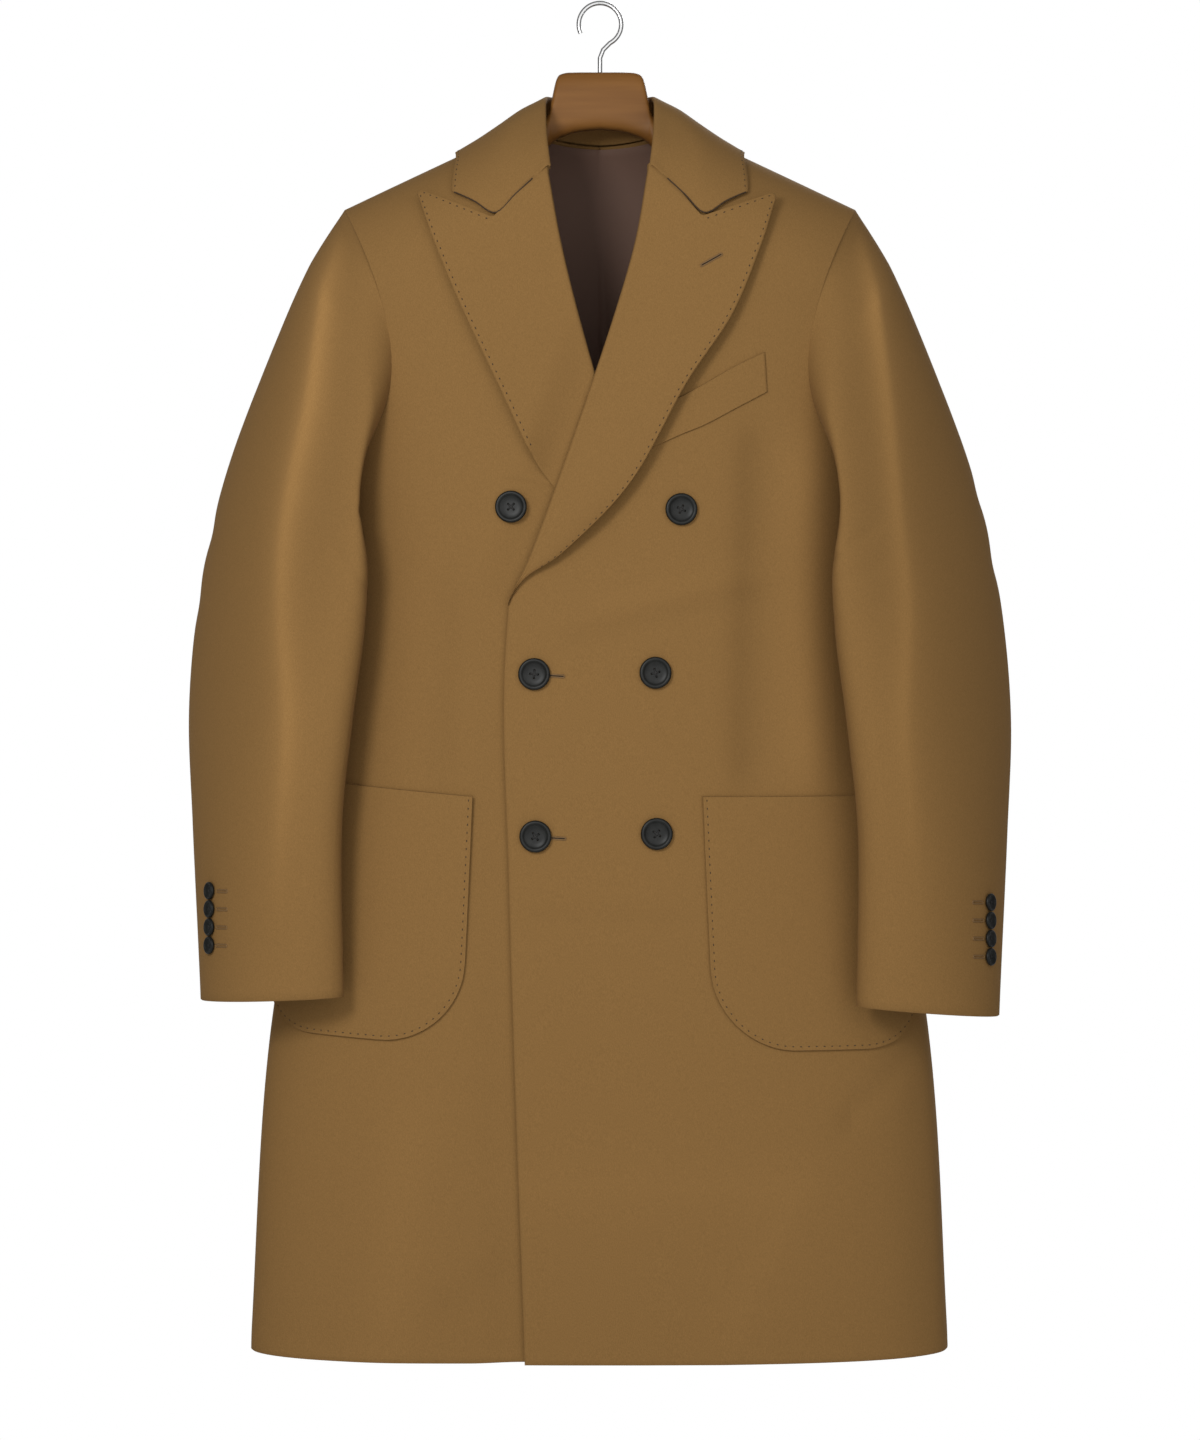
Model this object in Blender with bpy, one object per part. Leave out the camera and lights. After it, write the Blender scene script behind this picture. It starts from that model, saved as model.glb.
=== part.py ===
"""A double-breasted wool coat, buttoned, hanging on a wooden hanger.

Metres, +Z up, the coat's front towards -Y. The origin is the inner top of the
hanger's hook. Tables are in millimetres: "drop" is measured down from the top of
the hanger's head and "x" out from the centre. Left and right are the viewer's.
Each piece of cloth is a wall between an outer and an inner grid of points.
"""
import math
from bisect import bisect_left
from functools import lru_cache

import bmesh
import bpy
import numpy as np

MM = 0.001

# Driving sizes, in millimetres
HOOK_RISE = 54.0          # hook's inner top above the hanger's head
CHEST_DROP = 330.0        # level of the rows below the armholes
HEM_DROP = 1018.0
WALL = 2.0                # wool cloth
LINING_WALL = 1.0
SEAM = 0.15               # half the gap between two pieces at a seam
LAY = 0.5                 # gap under a piece that lies on another
LINING_LAY = 2.2
COVER_INSET = 5.4         # the under front lies this far in where the over front covers it
COVER_START = 42.0        # the under front starts to go in this far before the over front's edge
COVER_RUN = 36.0          # and is all the way in after this much
UNDER_HEM_RISE = 3.0      # the under front is this much shorter
NECK_HALF = 59.5          # neck point on the shoulder seam
NECK_BACK = 50.5          # back neck seam at the centre
SHOULDER_HALF = 204.0     # shoulder point
SHOULDER_DROP = 110.0
SHOULDER_SLOPE = 0.4676
SHOULDER_ROUND = 75.0     # the body rounds over from the shoulder seam in this drop
RING_POWER = 2.6          # squareness of the body's rings

# Rows of the body panels: shares from a column's top to the chest, then from the chest to the hem
ROUND_SHARE = 0.29
ROUND_ANGLES = (0, 22, 42, 62, 90)
CHEST_LEVELS = [0.35, 0.42, 0.49, 0.56, 0.63, 0.7, 0.76, 0.82]
SKIRT_SHARES = (0.0, 0.045, 0.09, 0.136, 0.17, 0.25, 0.36, 0.48, 0.6, 0.73, 0.86, 1.0)
ROUND_LEVELS = [ROUND_SHARE * (1 - math.cos(math.radians(a))) for a in ROUND_ANGLES]
SKIRT_LEVELS = [1 + s for s in SKIRT_SHARES]

# The body's rings: half width, and depth in front of and behind the shoulder seam
BODY_COLUMNS = ("drop", "half", "front", "back")
BODY = (
    (0, 236, 66, 58),
    (110, 232, 76, 64),
    (310, 212, 84, 70),
    (450, 212, 82, 66),
    (620, 236, 84, 74),
    (745, 258, 86, 78),
    (1030, 278, 88, 82),
)

# Four lines down each sleeve: outer, front, inner and back
SLEEVE_COLUMNS = ("outer_x", "outer_y", "outer_drop", "front_x", "front_y", "front_drop",
                  "inner_x", "inner_y", "inner_drop", "back_x", "back_y", "back_drop")
SLEEVE = (
    (204, 0, 110, 163, -66, 245, 212, 0, 318, 168, 60, 235),
    (232, 2, 153, 176, -88, 275, 220, -12, 336, 205, 68, 262),
    (262, 6, 222, 190, -98, 310, 209, -42, 362, 244, 66, 312),
    (293, 9, 309, 207, -105, 365, 190, -68, 398, 276, 48, 375),
    (316, 8, 402, 230, -102, 430, 186, -80, 446, 284, 26, 438),
    (327, 0, 503, 244, -105, 515, 194, -85, 522, 284, 6, 518),
    (323, -22, 603, 255, -107, 605, 200, -91, 608, 276, -18, 606),
    (314, -47, 741, 262, -106, 741, 198, -95, 741, 262, -44, 741),
)
SLEEVE_DROP = {-1: 0.0, 1: 9.0}     # the viewer's right cuff hangs a little lower
SLEEVE_GAP = 0.7
SLEEVE_SETTLE = 0.14                # share of its length in which the sleeve leaves the armhole
SLEEVE_SEAM_ANGLE = 0.1             # half the gap at a sleeve seam, in degrees
SLEEVE_SHARES = (0, 0.07, 0.14, 0.21, 0.28, 0.36, 0.44, 0.52, 0.6, 0.68, 0.76, 0.84, 0.92, 1.0)
TOP_SLEEVE_TURN = (-68.0, 152.0)    # the top sleeve's share of a ring, in degrees from its outer line

# Where the side seams leave the armhole, as angles from the shoulder point
FRONT_SEAM_TURN = math.radians(135)
BACK_SEAM_TURN = math.radians(225)

# Front panel edges and seams, x against drop
SIDE_SEAM_COLUMNS = ("drop", "front_x", "back_x")
SIDE_SEAM = (
    (440, 182, 185),
    (600, 186, 190),
    (1030, 207, 210),
)
FREE_EDGE_COLUMNS = ("drop", "x")
FREE_EDGE = ((424, -71), (480, -74.5), (640, -71), (1030, -58))
LAPEL_COLUMNS = ("roll_x", "roll_drop", "edge_x", "edge_drop")
LAPEL_OVER = (
    (40, 90, 136, 109),
    (31, 142, 122, 153),
    (17, 193, 100, 205),
    (-4, 257, 66, 257),
    (-32, 337, 24, 333),
    (-53, 392, -26, 385),
    (-70, 424, -59, 420),
)
LAPEL_UNDER = (
    (-43, 92, -142, 105),
    (-34, 142, -127, 148),
    (-22, 193, -106, 198),
    (-4, 257, -76, 262),
    (9, 296, -49, 318),
    (23, 331, -16, 362),
)
NOTCH_SHARE = 0.38
LAPEL_SHARES = (NOTCH_SHARE / 2, NOTCH_SHARE, 0.6, 0.8, 1.0)
NOTCH = {1: (79.0, 126.0), -1: (-83.0, 127.0)}
LAPEL_ROLL_COLUMNS = ("outer_step", "outer_height", "inner_step", "inner_height")
LAPEL_ROLL = ((-3.2, -1.5, -1.0, -1.5), (-2.8, 1.5, -1.0, 0.4), (-0.6, 3.2, -0.2, 0.9))
LAPEL_LIFT = {1: (1.6, 5.0), -1: (1.0, 1.0)}    # extra height at the edge, at the top and low down
LAPEL_LIFT_RUN = 0.7      # share of the lapel's length over which that height changes
LAPEL_PUFF = 1.4          # height of the cloth between the roll and the edge
LAPEL_FULL_WIDTH = 40.0   # a narrower lapel lies flatter
LAPEL_NOTCH_RUN = 0.35    # share of the lapel's length that the notch bends
LAPEL_TOP_RUN = 0.2       # share of its length over which the top end comes down to the front
LAPEL_HIDDEN_FLAT = 0.22  # how much flatter the roll is under the other front

# The collar's sections from the centre back to the notch, on the right side
COLLAR_COLUMNS = ("fold_x", "fold_y", "fold_drop", "mid_x", "mid_turn", "edge_x", "edge_turn",
                  "neck_x", "neck_y", "neck_drop")
COLLAR = (
    (0, 50, 12, 0, -64, 0, -89, 0, 49.0, 49.8),
    (22, 44, 13, 30, -55, 48, -74, 28, 40.4, 48.0),
    (38, 24, 16, 56, -34, 88, -44, 47.5, 25.4, 44.6),
    (43.5, 0, 20, 70, 3, 111, -2, 56.5, 0, 41.2),
    (44.5, -27, 31, 76, 38, 113, 30, 54.5, -25, 45.5),
    (44, -58, 60, 78, 66, 115, 51, 46.0, -52.5, 66.0),
    (42, -75, 86, 81, 87, 115, 60, 38.2, -68.6, 87.5),
)
COLLAR_STAND_COLUMNS = ("outer_up", "outer_out", "outer_rise", "inner_up", "inner_out", "inner_rise")
COLLAR_STAND = (            # share of the way up the stand, and steps out and up, of both faces
    (0.0, 0.0, 0.0, 0.0, 1.8, 0.0),
    (0.5, -1.0, 0.0, 0.5, 0.8, 0.0),
    (0.88, -3.2, 0.0, 0.8, -1.2, 0.0),
    (1.0, 0.0, 0.6, 1.0, 0.0, -1.4),
)
COLLAR_FALL_SHARES = (0.24, 0.6, 1.0)
COLLAR_LIFT = 4.0
COLLAR_CROWN = 4.0        # how far the fall rounds up between the fold and the shoulder

# Small pieces
POCKET_COLUMNS = ("side", "front_x", "top_front", "top_back", "bottom")
POCKETS = ((-1, 102, 575, 567, 769), (1, 83, 577, 577, 775))
POCKET_WIDTH = 186.0
POCKET_CORNER = 58.0
POCKET_WALL = 2.2
POCKET_LAY = 0.8
WELT_COLUMNS = ("top_x", "top_drop", "low_x", "low_drop")
WELT = ((128, 231, 130, 262), (104, 243, 106, 275), (80, 257, 82, 288), (66, 265, 67, 294))
WELT_WALL = 1.6
FRONT_BUTTON_COLUMNS = ("x", "drop")
FRONT_BUTTONS = ((-69, 352), (63, 354), (-51, 482), (43, 481), (-50, 608), (44, 606))
FRONT_BUTTON_SIZE = (25.0, 4.2)     # width and thickness
CUFF_BUTTON_SIZE = (13.9, 3.0)
BUTTON_COLUMNS = ("radius_share", "height_share")
BUTTON_PROFILE = ((0.78, 0.0), (1.0, 0.5), (0.9, 1.0), (0.76, 0.95), (0.64, 0.62))
CUFF_BUTTON_FIRST = 651.0
CUFF_BUTTON_STEP = 14.1
CUFF_BUTTON_TURN = 40.0
CUFF_BUTTON_COUNT = 4

# The hanger: outline of half its front view, and its depth
HANGER_COLUMNS = ("x", "top", "bottom", "half_depth", "squareness")
HANGER = (
    (0, 0, 45, 10.5, 0.6),
    (18, 0, 47, 10.5, 0.6),
    (29, 0.8, 50.5, 10.5, 0.6),
    (34.5, 5, 53, 10.5, 0.6),
    (38.5, 21, 56, 10.5, 0.7),
    (41.5, 33, 59, 11, 0.8),
    (50, 43.0, 66, 11.5, 0.9),
    (62, 46.0, 75, 13, 1.0),
    (110, 68.4, 104, 15, 1.0),
    (160, 91.8, 132, 17, 1.0),
    (184, 103.6, 142, 15, 1.0),
    (192, 111.1, 138, 9, 1.0),
)
HANGER_SIDES = 12
HOOK_WIRE = 1.9           # radius
HOOK_BEND = 17.0          # radius of the hook's wire line
HOOK_SIDES = 8
HOOK_ANGLES = (-62, 205)  # the round bend's first and last angle, in degrees
HOOK_STEM = (10.0, 3.5)   # the stem's last points below the bend
HOOK_SWING = 2.5          # how far the stem swings to the side there

# Finishes: colour, roughness and metallic value
CAMEL = ((0.25, 0.135, 0.042), 0.92, 0.0)
LINING = ((0.042, 0.021, 0.015), 0.5, 0.0)
WOOD = ((0.195, 0.068, 0.009), 0.4, 0.0)
STEEL = ((0.6, 0.6, 0.6), 0.25, 1.0)
HORN = ((0.021, 0.024, 0.023), 0.4, 0.0)


# Tables and curves
@lru_cache(maxsize=None)
def column(table, names, name):
    """One named column of a table."""
    return tuple(float(row[names.index(name)]) for row in table)


@lru_cache(maxsize=None)
def slopes_of(keys, values):
    """Slope of a smooth curve at each row of a table."""
    return tuple(np.gradient(values, keys).tolist())


def smooth(keys, values, at):
    """Value at a key on a smooth curve through a table's rows."""
    slopes = slopes_of(keys, values)
    at = min(max(at, keys[0]), keys[-1])
    row = min(max(bisect_left(keys, at) - 1, 0), len(keys) - 2)
    span = keys[row + 1] - keys[row]
    s = (at - keys[row]) / span
    return ((1 + 2 * s) * (1 - s) ** 2 * values[row] + s * (1 - s) ** 2 * span * slopes[row]
            + s * s * (3 - 2 * s) * values[row + 1] + s * s * (s - 1) * span * slopes[row + 1])


def along(table, names, name, share):
    """A named column read at a share of the way down its table."""
    last = len(table) - 1
    return smooth(tuple(row / last for row in range(last + 1)), column(table, names, name), share)


def ease(s):
    """0 to 1 with soft ends."""
    s = min(max(s, 0.0), 1.0)
    return s * s * (3 - 2 * s)


def at_height(x, y, drop):
    """A point from its x, y and drop."""
    return np.array((x, y, -HOOK_RISE - drop))


def drop_of(point):
    return -HOOK_RISE - point[2]


# The body's surface
def shoulder_line(x):
    """Drop of the shoulder seam's line at x."""
    return SHOULDER_DROP - (SHOULDER_HALF - abs(x)) * SHOULDER_SLOPE


def ring(drop, name):
    return smooth(column(BODY, BODY_COLUMNS, "drop"), column(BODY, BODY_COLUMNS, name), drop)


def turn_at(x, drop, face):
    """Angle round the ring at x: a quarter turn at the centre front, 0 at the side, minus at the back."""
    share = min(abs(x) / ring(drop, "half"), 1.0)
    return -face * math.acos(share ** (RING_POWER / 2))


def body_point(side, turn, drop):
    """Point on the body's surface at an angle round the ring and a drop."""
    x = ring(drop, "half") * max(math.cos(turn), 0.0) ** (2 / RING_POWER)
    rise = min(max((drop - shoulder_line(x)) / SHOULDER_ROUND, 0.0), 1.0)
    depth = ring(drop, "front") if turn > 0 else -ring(drop, "back")
    y = -depth * abs(math.sin(turn)) ** (2 / RING_POWER) * math.sqrt(1 - (1 - rise) ** 2)
    return at_height(side * x, y, drop)


def body_normal(side, turn, drop):
    """Outward direction of the body's surface."""
    here = body_point(side, turn, drop)
    to_side = -0.012 if turn > 0 else 0.012
    round_step = body_point(side, turn + to_side, drop) - here
    down_step = body_point(side, turn, drop + 0.6) - here
    normal = np.cross(round_step, down_step)
    outward = np.array((here[0], here[1], 60.0))
    if normal @ outward < 0:
        normal = -normal
    return normal / np.linalg.norm(normal)


def on_body(x, drop, face, out=0.0):
    """Point on the front (face -1) or back (face 1) at x and drop, moved out."""
    side = 1 if x >= 0 else -1
    turn = turn_at(x, drop, face)
    return body_point(side, turn, drop) + out * body_normal(side, turn, drop)


def roll_x(table, drop):
    """x of a lapel's roll line at a drop."""
    return smooth(column(table, LAPEL_COLUMNS, "roll_drop"), column(table, LAPEL_COLUMNS, "roll_x"), drop)


def free_edge(drop):
    """x of the over front's free edge below its lapel."""
    drops = column(FREE_EDGE, FREE_EDGE_COLUMNS, "drop")
    return smooth(drops, column(FREE_EDGE, FREE_EDGE_COLUMNS, "x"), drop)


def cover_edge(drop):
    """x of the over front's inner edge: its roll line, then its free edge."""
    return max(roll_x(LAPEL_OVER, drop), free_edge(drop))


def inset(x, drop):
    """How far in the under front lies at x and drop."""
    return COVER_INSET * ease((x - cover_edge(drop) + COVER_START) / COVER_RUN)


# Solids from grids
def finish_mesh(name, vertices, faces, look):
    mesh = bpy.data.meshes.new(name)
    mesh.from_pydata([tuple(v * MM) for v in vertices], [], faces)
    solid = bmesh.new()
    solid.from_mesh(mesh)
    bmesh.ops.recalc_face_normals(solid, faces=solid.faces)
    bmesh.ops.triangulate(solid, faces=solid.faces)
    solid.to_mesh(mesh)
    solid.free()
    mesh.shade_smooth()
    mesh.set_sharp_from_angle(angle=math.radians(40))
    part = bpy.data.objects.new(name, mesh)
    bpy.context.collection.objects.link(part)
    colour, roughness, metallic = look
    material = bpy.data.materials.new(name)
    material.use_nodes = True
    shader = material.node_tree.nodes["Principled BSDF"]
    shader.inputs["Base Color"].default_value = (*colour, 1.0)
    shader.inputs["Roughness"].default_value = roughness
    shader.inputs["Metallic"].default_value = metallic
    mesh.materials.append(material)
    return part


def wall(name, outer, inner, look):
    """A closed wall between two grids of points with the same rows and columns."""
    rows = len(outer)
    columns = len(outer[0])
    count = rows * columns
    vertices = [p for row in outer for p in row] + [p for row in inner for p in row]
    faces = []
    for r in range(rows - 1):
        for c in range(columns - 1):
            a = r * columns + c
            faces.append((a, a + 1, a + columns + 1, a + columns))
            faces.append((count + a, count + a + columns, count + a + columns + 1, count + a + 1))
    rim = [c for c in range(columns)]
    rim += [r * columns + columns - 1 for r in range(1, rows)]
    rim += [(rows - 1) * columns + c for c in range(columns - 2, -1, -1)]
    rim += [r * columns for r in range(rows - 2, 0, -1)]
    for a, b in zip(rim, rim[1:] + rim[:1]):
        faces.append((a, b, count + b, count + a))
    return finish_mesh(name, vertices, faces, look)


def tube(name, rings, look):
    """A closed solid through rings of points, capped at both ends."""
    sides = len(rings[0])
    vertices = [p for one in rings for p in one]
    faces = [tuple(range(sides)), tuple(range((len(rings) - 1) * sides, len(rings) * sides))]
    for r in range(len(rings) - 1):
        for s in range(sides):
            a = r * sides + s
            b = r * sides + (s + 1) % sides
            faces.append((a, b, b + sides, a + sides))
    return finish_mesh(name, vertices, faces, look)


# Armholes, which the body panels and the sleeves share
def sleeve_curve(share, turn):
    """Point of the sleeve's ring at a share of its length, before it is set on the body."""
    corners = {}
    for line in ("outer", "front", "inner", "back"):
        corners[line] = np.array([along(SLEEVE, SLEEVE_COLUMNS, f"{line}_{axis}", share)
                                  for axis in ("x", "y", "drop")])
    centre = (corners["outer"] + corners["inner"]) / 2
    middle = (corners["front"] + corners["back"]) / 2
    return (centre + (corners["outer"] - corners["inner"]) / 2 * math.cos(turn)
            + (corners["front"] - corners["back"]) / 2 * math.sin(turn)
            + (middle - centre) * math.sin(turn) ** 2)


def armhole_point(side, turn):
    """Point of the armhole seam on the body, by its angle from the shoulder point."""
    turn = turn % math.tau
    x, _, drop = sleeve_curve(0.0, turn)
    if turn <= FRONT_SEAM_TURN:
        return body_point(side, turn_at(x, drop, -1), drop)
    if turn >= BACK_SEAM_TURN:
        return body_point(side, turn_at(x, drop, 1), drop)
    share = (turn - FRONT_SEAM_TURN) / (BACK_SEAM_TURN - FRONT_SEAM_TURN)
    first = armhole_point(1, FRONT_SEAM_TURN)
    last = armhole_point(1, BACK_SEAM_TURN)
    first_turn = turn_at(first[0], drop_of(first), -1)
    last_turn = turn_at(last[0], drop_of(last), 1)
    return body_point(side, first_turn + (last_turn - first_turn) * share, drop)


@lru_cache(maxsize=None)
def armhole_line(face):
    """Drops and x of the armhole seam on the front or the back."""
    end = FRONT_SEAM_TURN if face < 0 else BACK_SEAM_TURN - math.tau
    points = [sleeve_curve(0.0, t % math.tau) for t in np.linspace(0, end, 40)]
    return [p[2] for p in points], [p[0] for p in points]


def armhole_x(drop, face):
    """x of the armhole seam on the front or the back at a drop."""
    return float(np.interp(drop, *armhole_line(face)))


@lru_cache(maxsize=None)
def seam_start(face):
    """Drop where the side seam leaves the armhole."""
    return sleeve_curve(0.0, FRONT_SEAM_TURN if face < 0 else BACK_SEAM_TURN)[2]


def side_seam_x(drop, face):
    """x of the seam between the side panel and the front or back."""
    top = seam_start(face)
    drops = (top,) + column(SIDE_SEAM, SIDE_SEAM_COLUMNS, "drop")
    places = column(SIDE_SEAM, SIDE_SEAM_COLUMNS, "front_x" if face < 0 else "back_x")
    return smooth(drops, (armhole_x(top, face),) + places, drop)


def outer_x(drop, face):
    """x of a front's or back's outer boundary: the armhole, then the side seam."""
    if drop <= seam_start(face):
        return armhole_x(drop, face) - SEAM
    return side_seam_x(drop, face) - SEAM


# Body panels
def panel_levels(face):
    """Rows of a front or back, with one at the corner of its armhole and side seam."""
    corner = seam_start(face)
    top = shoulder_line(armhole_x(corner, face))
    return ROUND_LEVELS + CHEST_LEVELS + [(corner - top) / (CHEST_DROP - top)] + SKIRT_LEVELS


def level_drop(top, level, hem=HEM_DROP):
    """Drop of a row: between a column's top and the chest, then down to the hem."""
    if level <= 1:
        return top + (CHEST_DROP - top) * level
    return CHEST_DROP + (hem - CHEST_DROP) * (level - 1)


def settle_x(x, edge, top, level):
    """x where a row meets a boundary that is given by drop."""
    for _ in range(12):
        x = edge(level_drop(top(x), level))
    return x


def neck_edge(drop, table, side):
    """x of a front's inner boundary above its break: the neckline, then the roll line."""
    start = table[0][LAPEL_COLUMNS.index("roll_drop")]
    if drop >= start:
        return side * roll_x(table, drop)
    share = (drop - shoulder_line(NECK_HALF)) / (start - shoulder_line(NECK_HALF))
    start_x = side * table[0][LAPEL_COLUMNS.index("roll_x")]
    return NECK_HALF + (start_x - NECK_HALF) * min(max(share, 0.0), 1.0)


def front_panel(name, side, table, columns, hem, inset_at):
    """One front, from its neckline, roll line and free edge to the armhole and side seam."""
    def inner_edge(drop):
        if drop < table[-1][LAPEL_COLUMNS.index("roll_drop")]:
            return max(neck_edge(drop, table, side), free_edge(drop))
        return free_edge(drop)

    outer = []
    inner = []
    for level in panel_levels(-1):
        start = settle_x(NECK_HALF, inner_edge, shoulder_line, level)
        end = settle_x(SHOULDER_HALF, lambda d: outer_x(d, -1), shoulder_line, level)
        outer_row = []
        inner_row = []
        for share in np.linspace(0, 1, columns):
            x = start + (end - start) * share
            drop = level_drop(shoulder_line(x), level, hem)
            depth = inset_at(side * x, drop)
            near = on_body(side * x, drop, -1, -depth)
            far = on_body(side * x, drop, -1, -depth - WALL)
            near[1] = min(near[1], -SEAM)
            far[1] = min(far[1], -SEAM)
            outer_row.append(near)
            inner_row.append(far)
        outer.append(outer_row)
        inner.append(inner_row)
    return wall(name, outer, inner, CAMEL)


def back_top(x):
    """Drop of a back's top edge: the back neck, then the shoulder seam."""
    share = min(abs(x) / NECK_HALF, 1.0)
    neck = NECK_BACK + (shoulder_line(NECK_HALF) - NECK_BACK) * share ** 2
    return max(neck, shoulder_line(x)) if abs(x) < NECK_HALF else shoulder_line(x)


def back_panel(name, side, columns):
    """One back, from the centre back seam to the armhole and side seam."""
    outer = []
    inner = []
    for level in panel_levels(1):
        end = settle_x(SHOULDER_HALF, lambda d: outer_x(d, 1), shoulder_line, level)
        outer_row = []
        inner_row = []
        for share in np.linspace(0, 1, columns):
            x = SEAM + (end - SEAM) * share
            drop = level_drop(back_top(x), level)
            near = on_body(side * x, drop, 1)
            far = on_body(side * x, drop, 1, -WALL)
            for point in (near, far):
                point[1] = max(point[1], SEAM)
                point[0] = side * max(side * point[0], SEAM)
            outer_row.append(near)
            inner_row.append(far)
        outer.append(outer_row)
        inner.append(inner_row)
    return wall(name, outer, inner, CAMEL)


def side_panel(name, side, columns):
    """The panel under the arm, from the front's side seam round to the back's."""
    outer = []
    inner = []
    for level in [0.0] + SKIRT_LEVELS:
        outer_row = []
        inner_row = []
        for share in np.linspace(0, 1, columns):
            arm_turn = FRONT_SEAM_TURN + (BACK_SEAM_TURN - FRONT_SEAM_TURN) * share
            drop = level_drop(drop_of(armhole_point(side, arm_turn)), level)
            first = turn_at(side_seam_x(drop, -1), drop, -1)
            last = turn_at(side_seam_x(drop, 1), drop, 1)
            margin = 2 * SEAM / ring(drop, "half")
            turn = first - margin + (last - first + 2 * margin) * share
            near = body_point(side, turn, drop)
            outer_row.append(near)
            inner_row.append(near - WALL * body_normal(side, turn, drop))
        outer.append(outer_row)
        inner.append(inner_row)
    return wall(name, outer, inner, CAMEL)


def lining_back(columns=13, rows=10, half=104.0, bottom=430.0, clear=24.0):
    """The lining behind the neck opening, just inside the backs."""
    outer = []
    inner = []
    for level in np.linspace(0, 1, rows):
        outer_row = []
        inner_row = []
        for x in np.linspace(-half, half, columns):
            top = max(NECK_BACK + 1.0, shoulder_line(x) + clear)
            drop = top + (bottom - top) * level
            outer_row.append(on_body(x, drop, 1, -WALL - LINING_LAY - LINING_WALL))
            inner_row.append(on_body(x, drop, 1, -WALL - LINING_LAY))
        outer.append(outer_row)
        inner.append(inner_row)
    return wall("lining_back", outer, inner, LINING)


# Sleeves
def sleeve_point(side, share, turn):
    """Point of the sleeve's outside."""
    x, y, drop = sleeve_curve(share, turn)
    free = at_height(side * x, y, drop + SLEEVE_DROP[side] * share)
    if share > SLEEVE_SETTLE:
        return free
    seam = armhole_point(side, turn) + np.array((side * SLEEVE_GAP, 0, 0))
    settle = share / SLEEVE_SETTLE
    return seam * (1 - settle) + free * settle


def sleeve_normal(side, share, turn):
    """Outward direction of the sleeve's outside."""
    low = min(max(share - 0.01, 0.0), 0.98)
    across = sleeve_point(side, share, turn + 0.05) - sleeve_point(side, share, turn - 0.05)
    down = sleeve_point(side, low + 0.02, turn) - sleeve_point(side, low, turn)
    normal = side * np.cross(across, down)
    return normal / np.linalg.norm(normal)


def sleeve_piece(name, side, first, last, columns):
    """Part of the sleeve's ring, between two angles in degrees."""
    outer = []
    inner = []
    for share in SLEEVE_SHARES:
        outer_row = []
        inner_row = []
        for angle in np.linspace(first, last, columns):
            turn = math.radians(angle)
            near = sleeve_point(side, share, turn)
            inward = -sleeve_normal(side, share, turn)
            if share == 0:
                centre = sum(sleeve_point(side, 0, math.radians(a)) for a in (0, 90, 180, 270)) / 4
                inward = (centre - near) * np.array((0, 1, 1))
                inward = inward / np.linalg.norm(inward)
                under = (1 - math.cos(turn)) / 2
                inward = inward * (1 - under) + np.array((side, 0, 0)) * under
                inward = inward / np.linalg.norm(inward)
            outer_row.append(near)
            inner_row.append(near + WALL * inward)
        outer.append(outer_row)
        inner.append(inner_row)
    return wall(name, outer, inner, CAMEL)


def sleeves():
    first, last = TOP_SLEEVE_TURN
    gap = SLEEVE_SEAM_ANGLE
    for side, word in ((-1, "left"), (1, "right")):
        sleeve_piece(f"sleeve_top_{word}", side, first + gap, last - gap, 15)
        sleeve_piece(f"sleeve_under_{word}", side, last + gap, first + 360 - gap, 10)


# Lapels and collar
def lapel(name, side, table, covered, end, rows=15):
    """A lapel turned back on its front: a rolled edge, then a sheet that lies on the front."""
    outer = []
    inner = []
    roll_start = np.array(table[0][:2])
    tip = np.array(table[0][2:])
    straight = roll_start + (tip - roll_start) * NOTCH_SHARE
    for share in np.linspace(0, end, rows):
        rx, rd, ex, ed = [along(table, LAPEL_COLUMNS, n, share) for n in LAPEL_COLUMNS]
        bend = max(0.0, 1 - share / LAPEL_NOTCH_RUN)
        across = np.array((ex - rx, ed - rd))
        width = np.linalg.norm(across)
        across = across / width
        top_lift, low_lift = LAPEL_LIFT[side]
        lift = top_lift + (low_lift - top_lift) * ease(share / LAPEL_LIFT_RUN)
        taper = min(1.0, width / LAPEL_FULL_WIDTH)
        start_drop = rd + SEAM * 3
        outer_row = []
        inner_row = []
        for out_s, out_h, in_s, in_h in LAPEL_ROLL:
            hidden = inset(rx, rd) / COVER_INSET if covered else 0.0
            flat = out_h * (1 - LAPEL_HIDDEN_FLAT * hidden)
            outer_row.append(lapel_point(rx, start_drop, across * out_s, flat, covered))
            inner_row.append(lapel_point(rx, start_drop, across * in_s, in_h, covered))
        for u in LAPEL_SHARES:
            tent = u / NOTCH_SHARE if u < NOTCH_SHARE else (1 - u) / (1 - NOTCH_SHARE)
            shift = (np.array(NOTCH[side]) - straight) * tent * bend
            step = across * (width * u) + shift
            free = 1 - inset(rx + step[0], rd + step[1]) / COVER_INSET if covered else 1.0
            puff = LAPEL_PUFF * math.sin(math.pi * min(u, 0.5))
            height = LAY + free * taper * (puff + lift * u ** 2)
            height += max(0.0, 1 - share / LAPEL_TOP_RUN)
            inner_row.append(lapel_point(rx, start_drop, step, height, covered))
            outer_row.append(lapel_point(rx, start_drop, step, height + WALL, covered))
        outer.append(outer_row)
        inner.append(inner_row)
    return wall(name, outer, inner, CAMEL)


def lapel_point(x, drop, step, height, covered):
    """Point beside a roll line, at a height over the front that it lies on."""
    here_x = x + step[0]
    here_drop = drop + step[1]
    depth = inset(here_x, here_drop) if covered else 0.0
    return on_body(here_x, here_drop, -1, height - depth)


@lru_cache(maxsize=None)
def whole_collar():
    """The collar's table from the left notch round the back to the right one."""
    mirror = [-1 if name.endswith("_x") else 1 for name in COLLAR_COLUMNS]
    left = tuple(tuple(v * m for v, m in zip(row, mirror)) for row in COLLAR[:0:-1])
    return left + COLLAR


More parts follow.
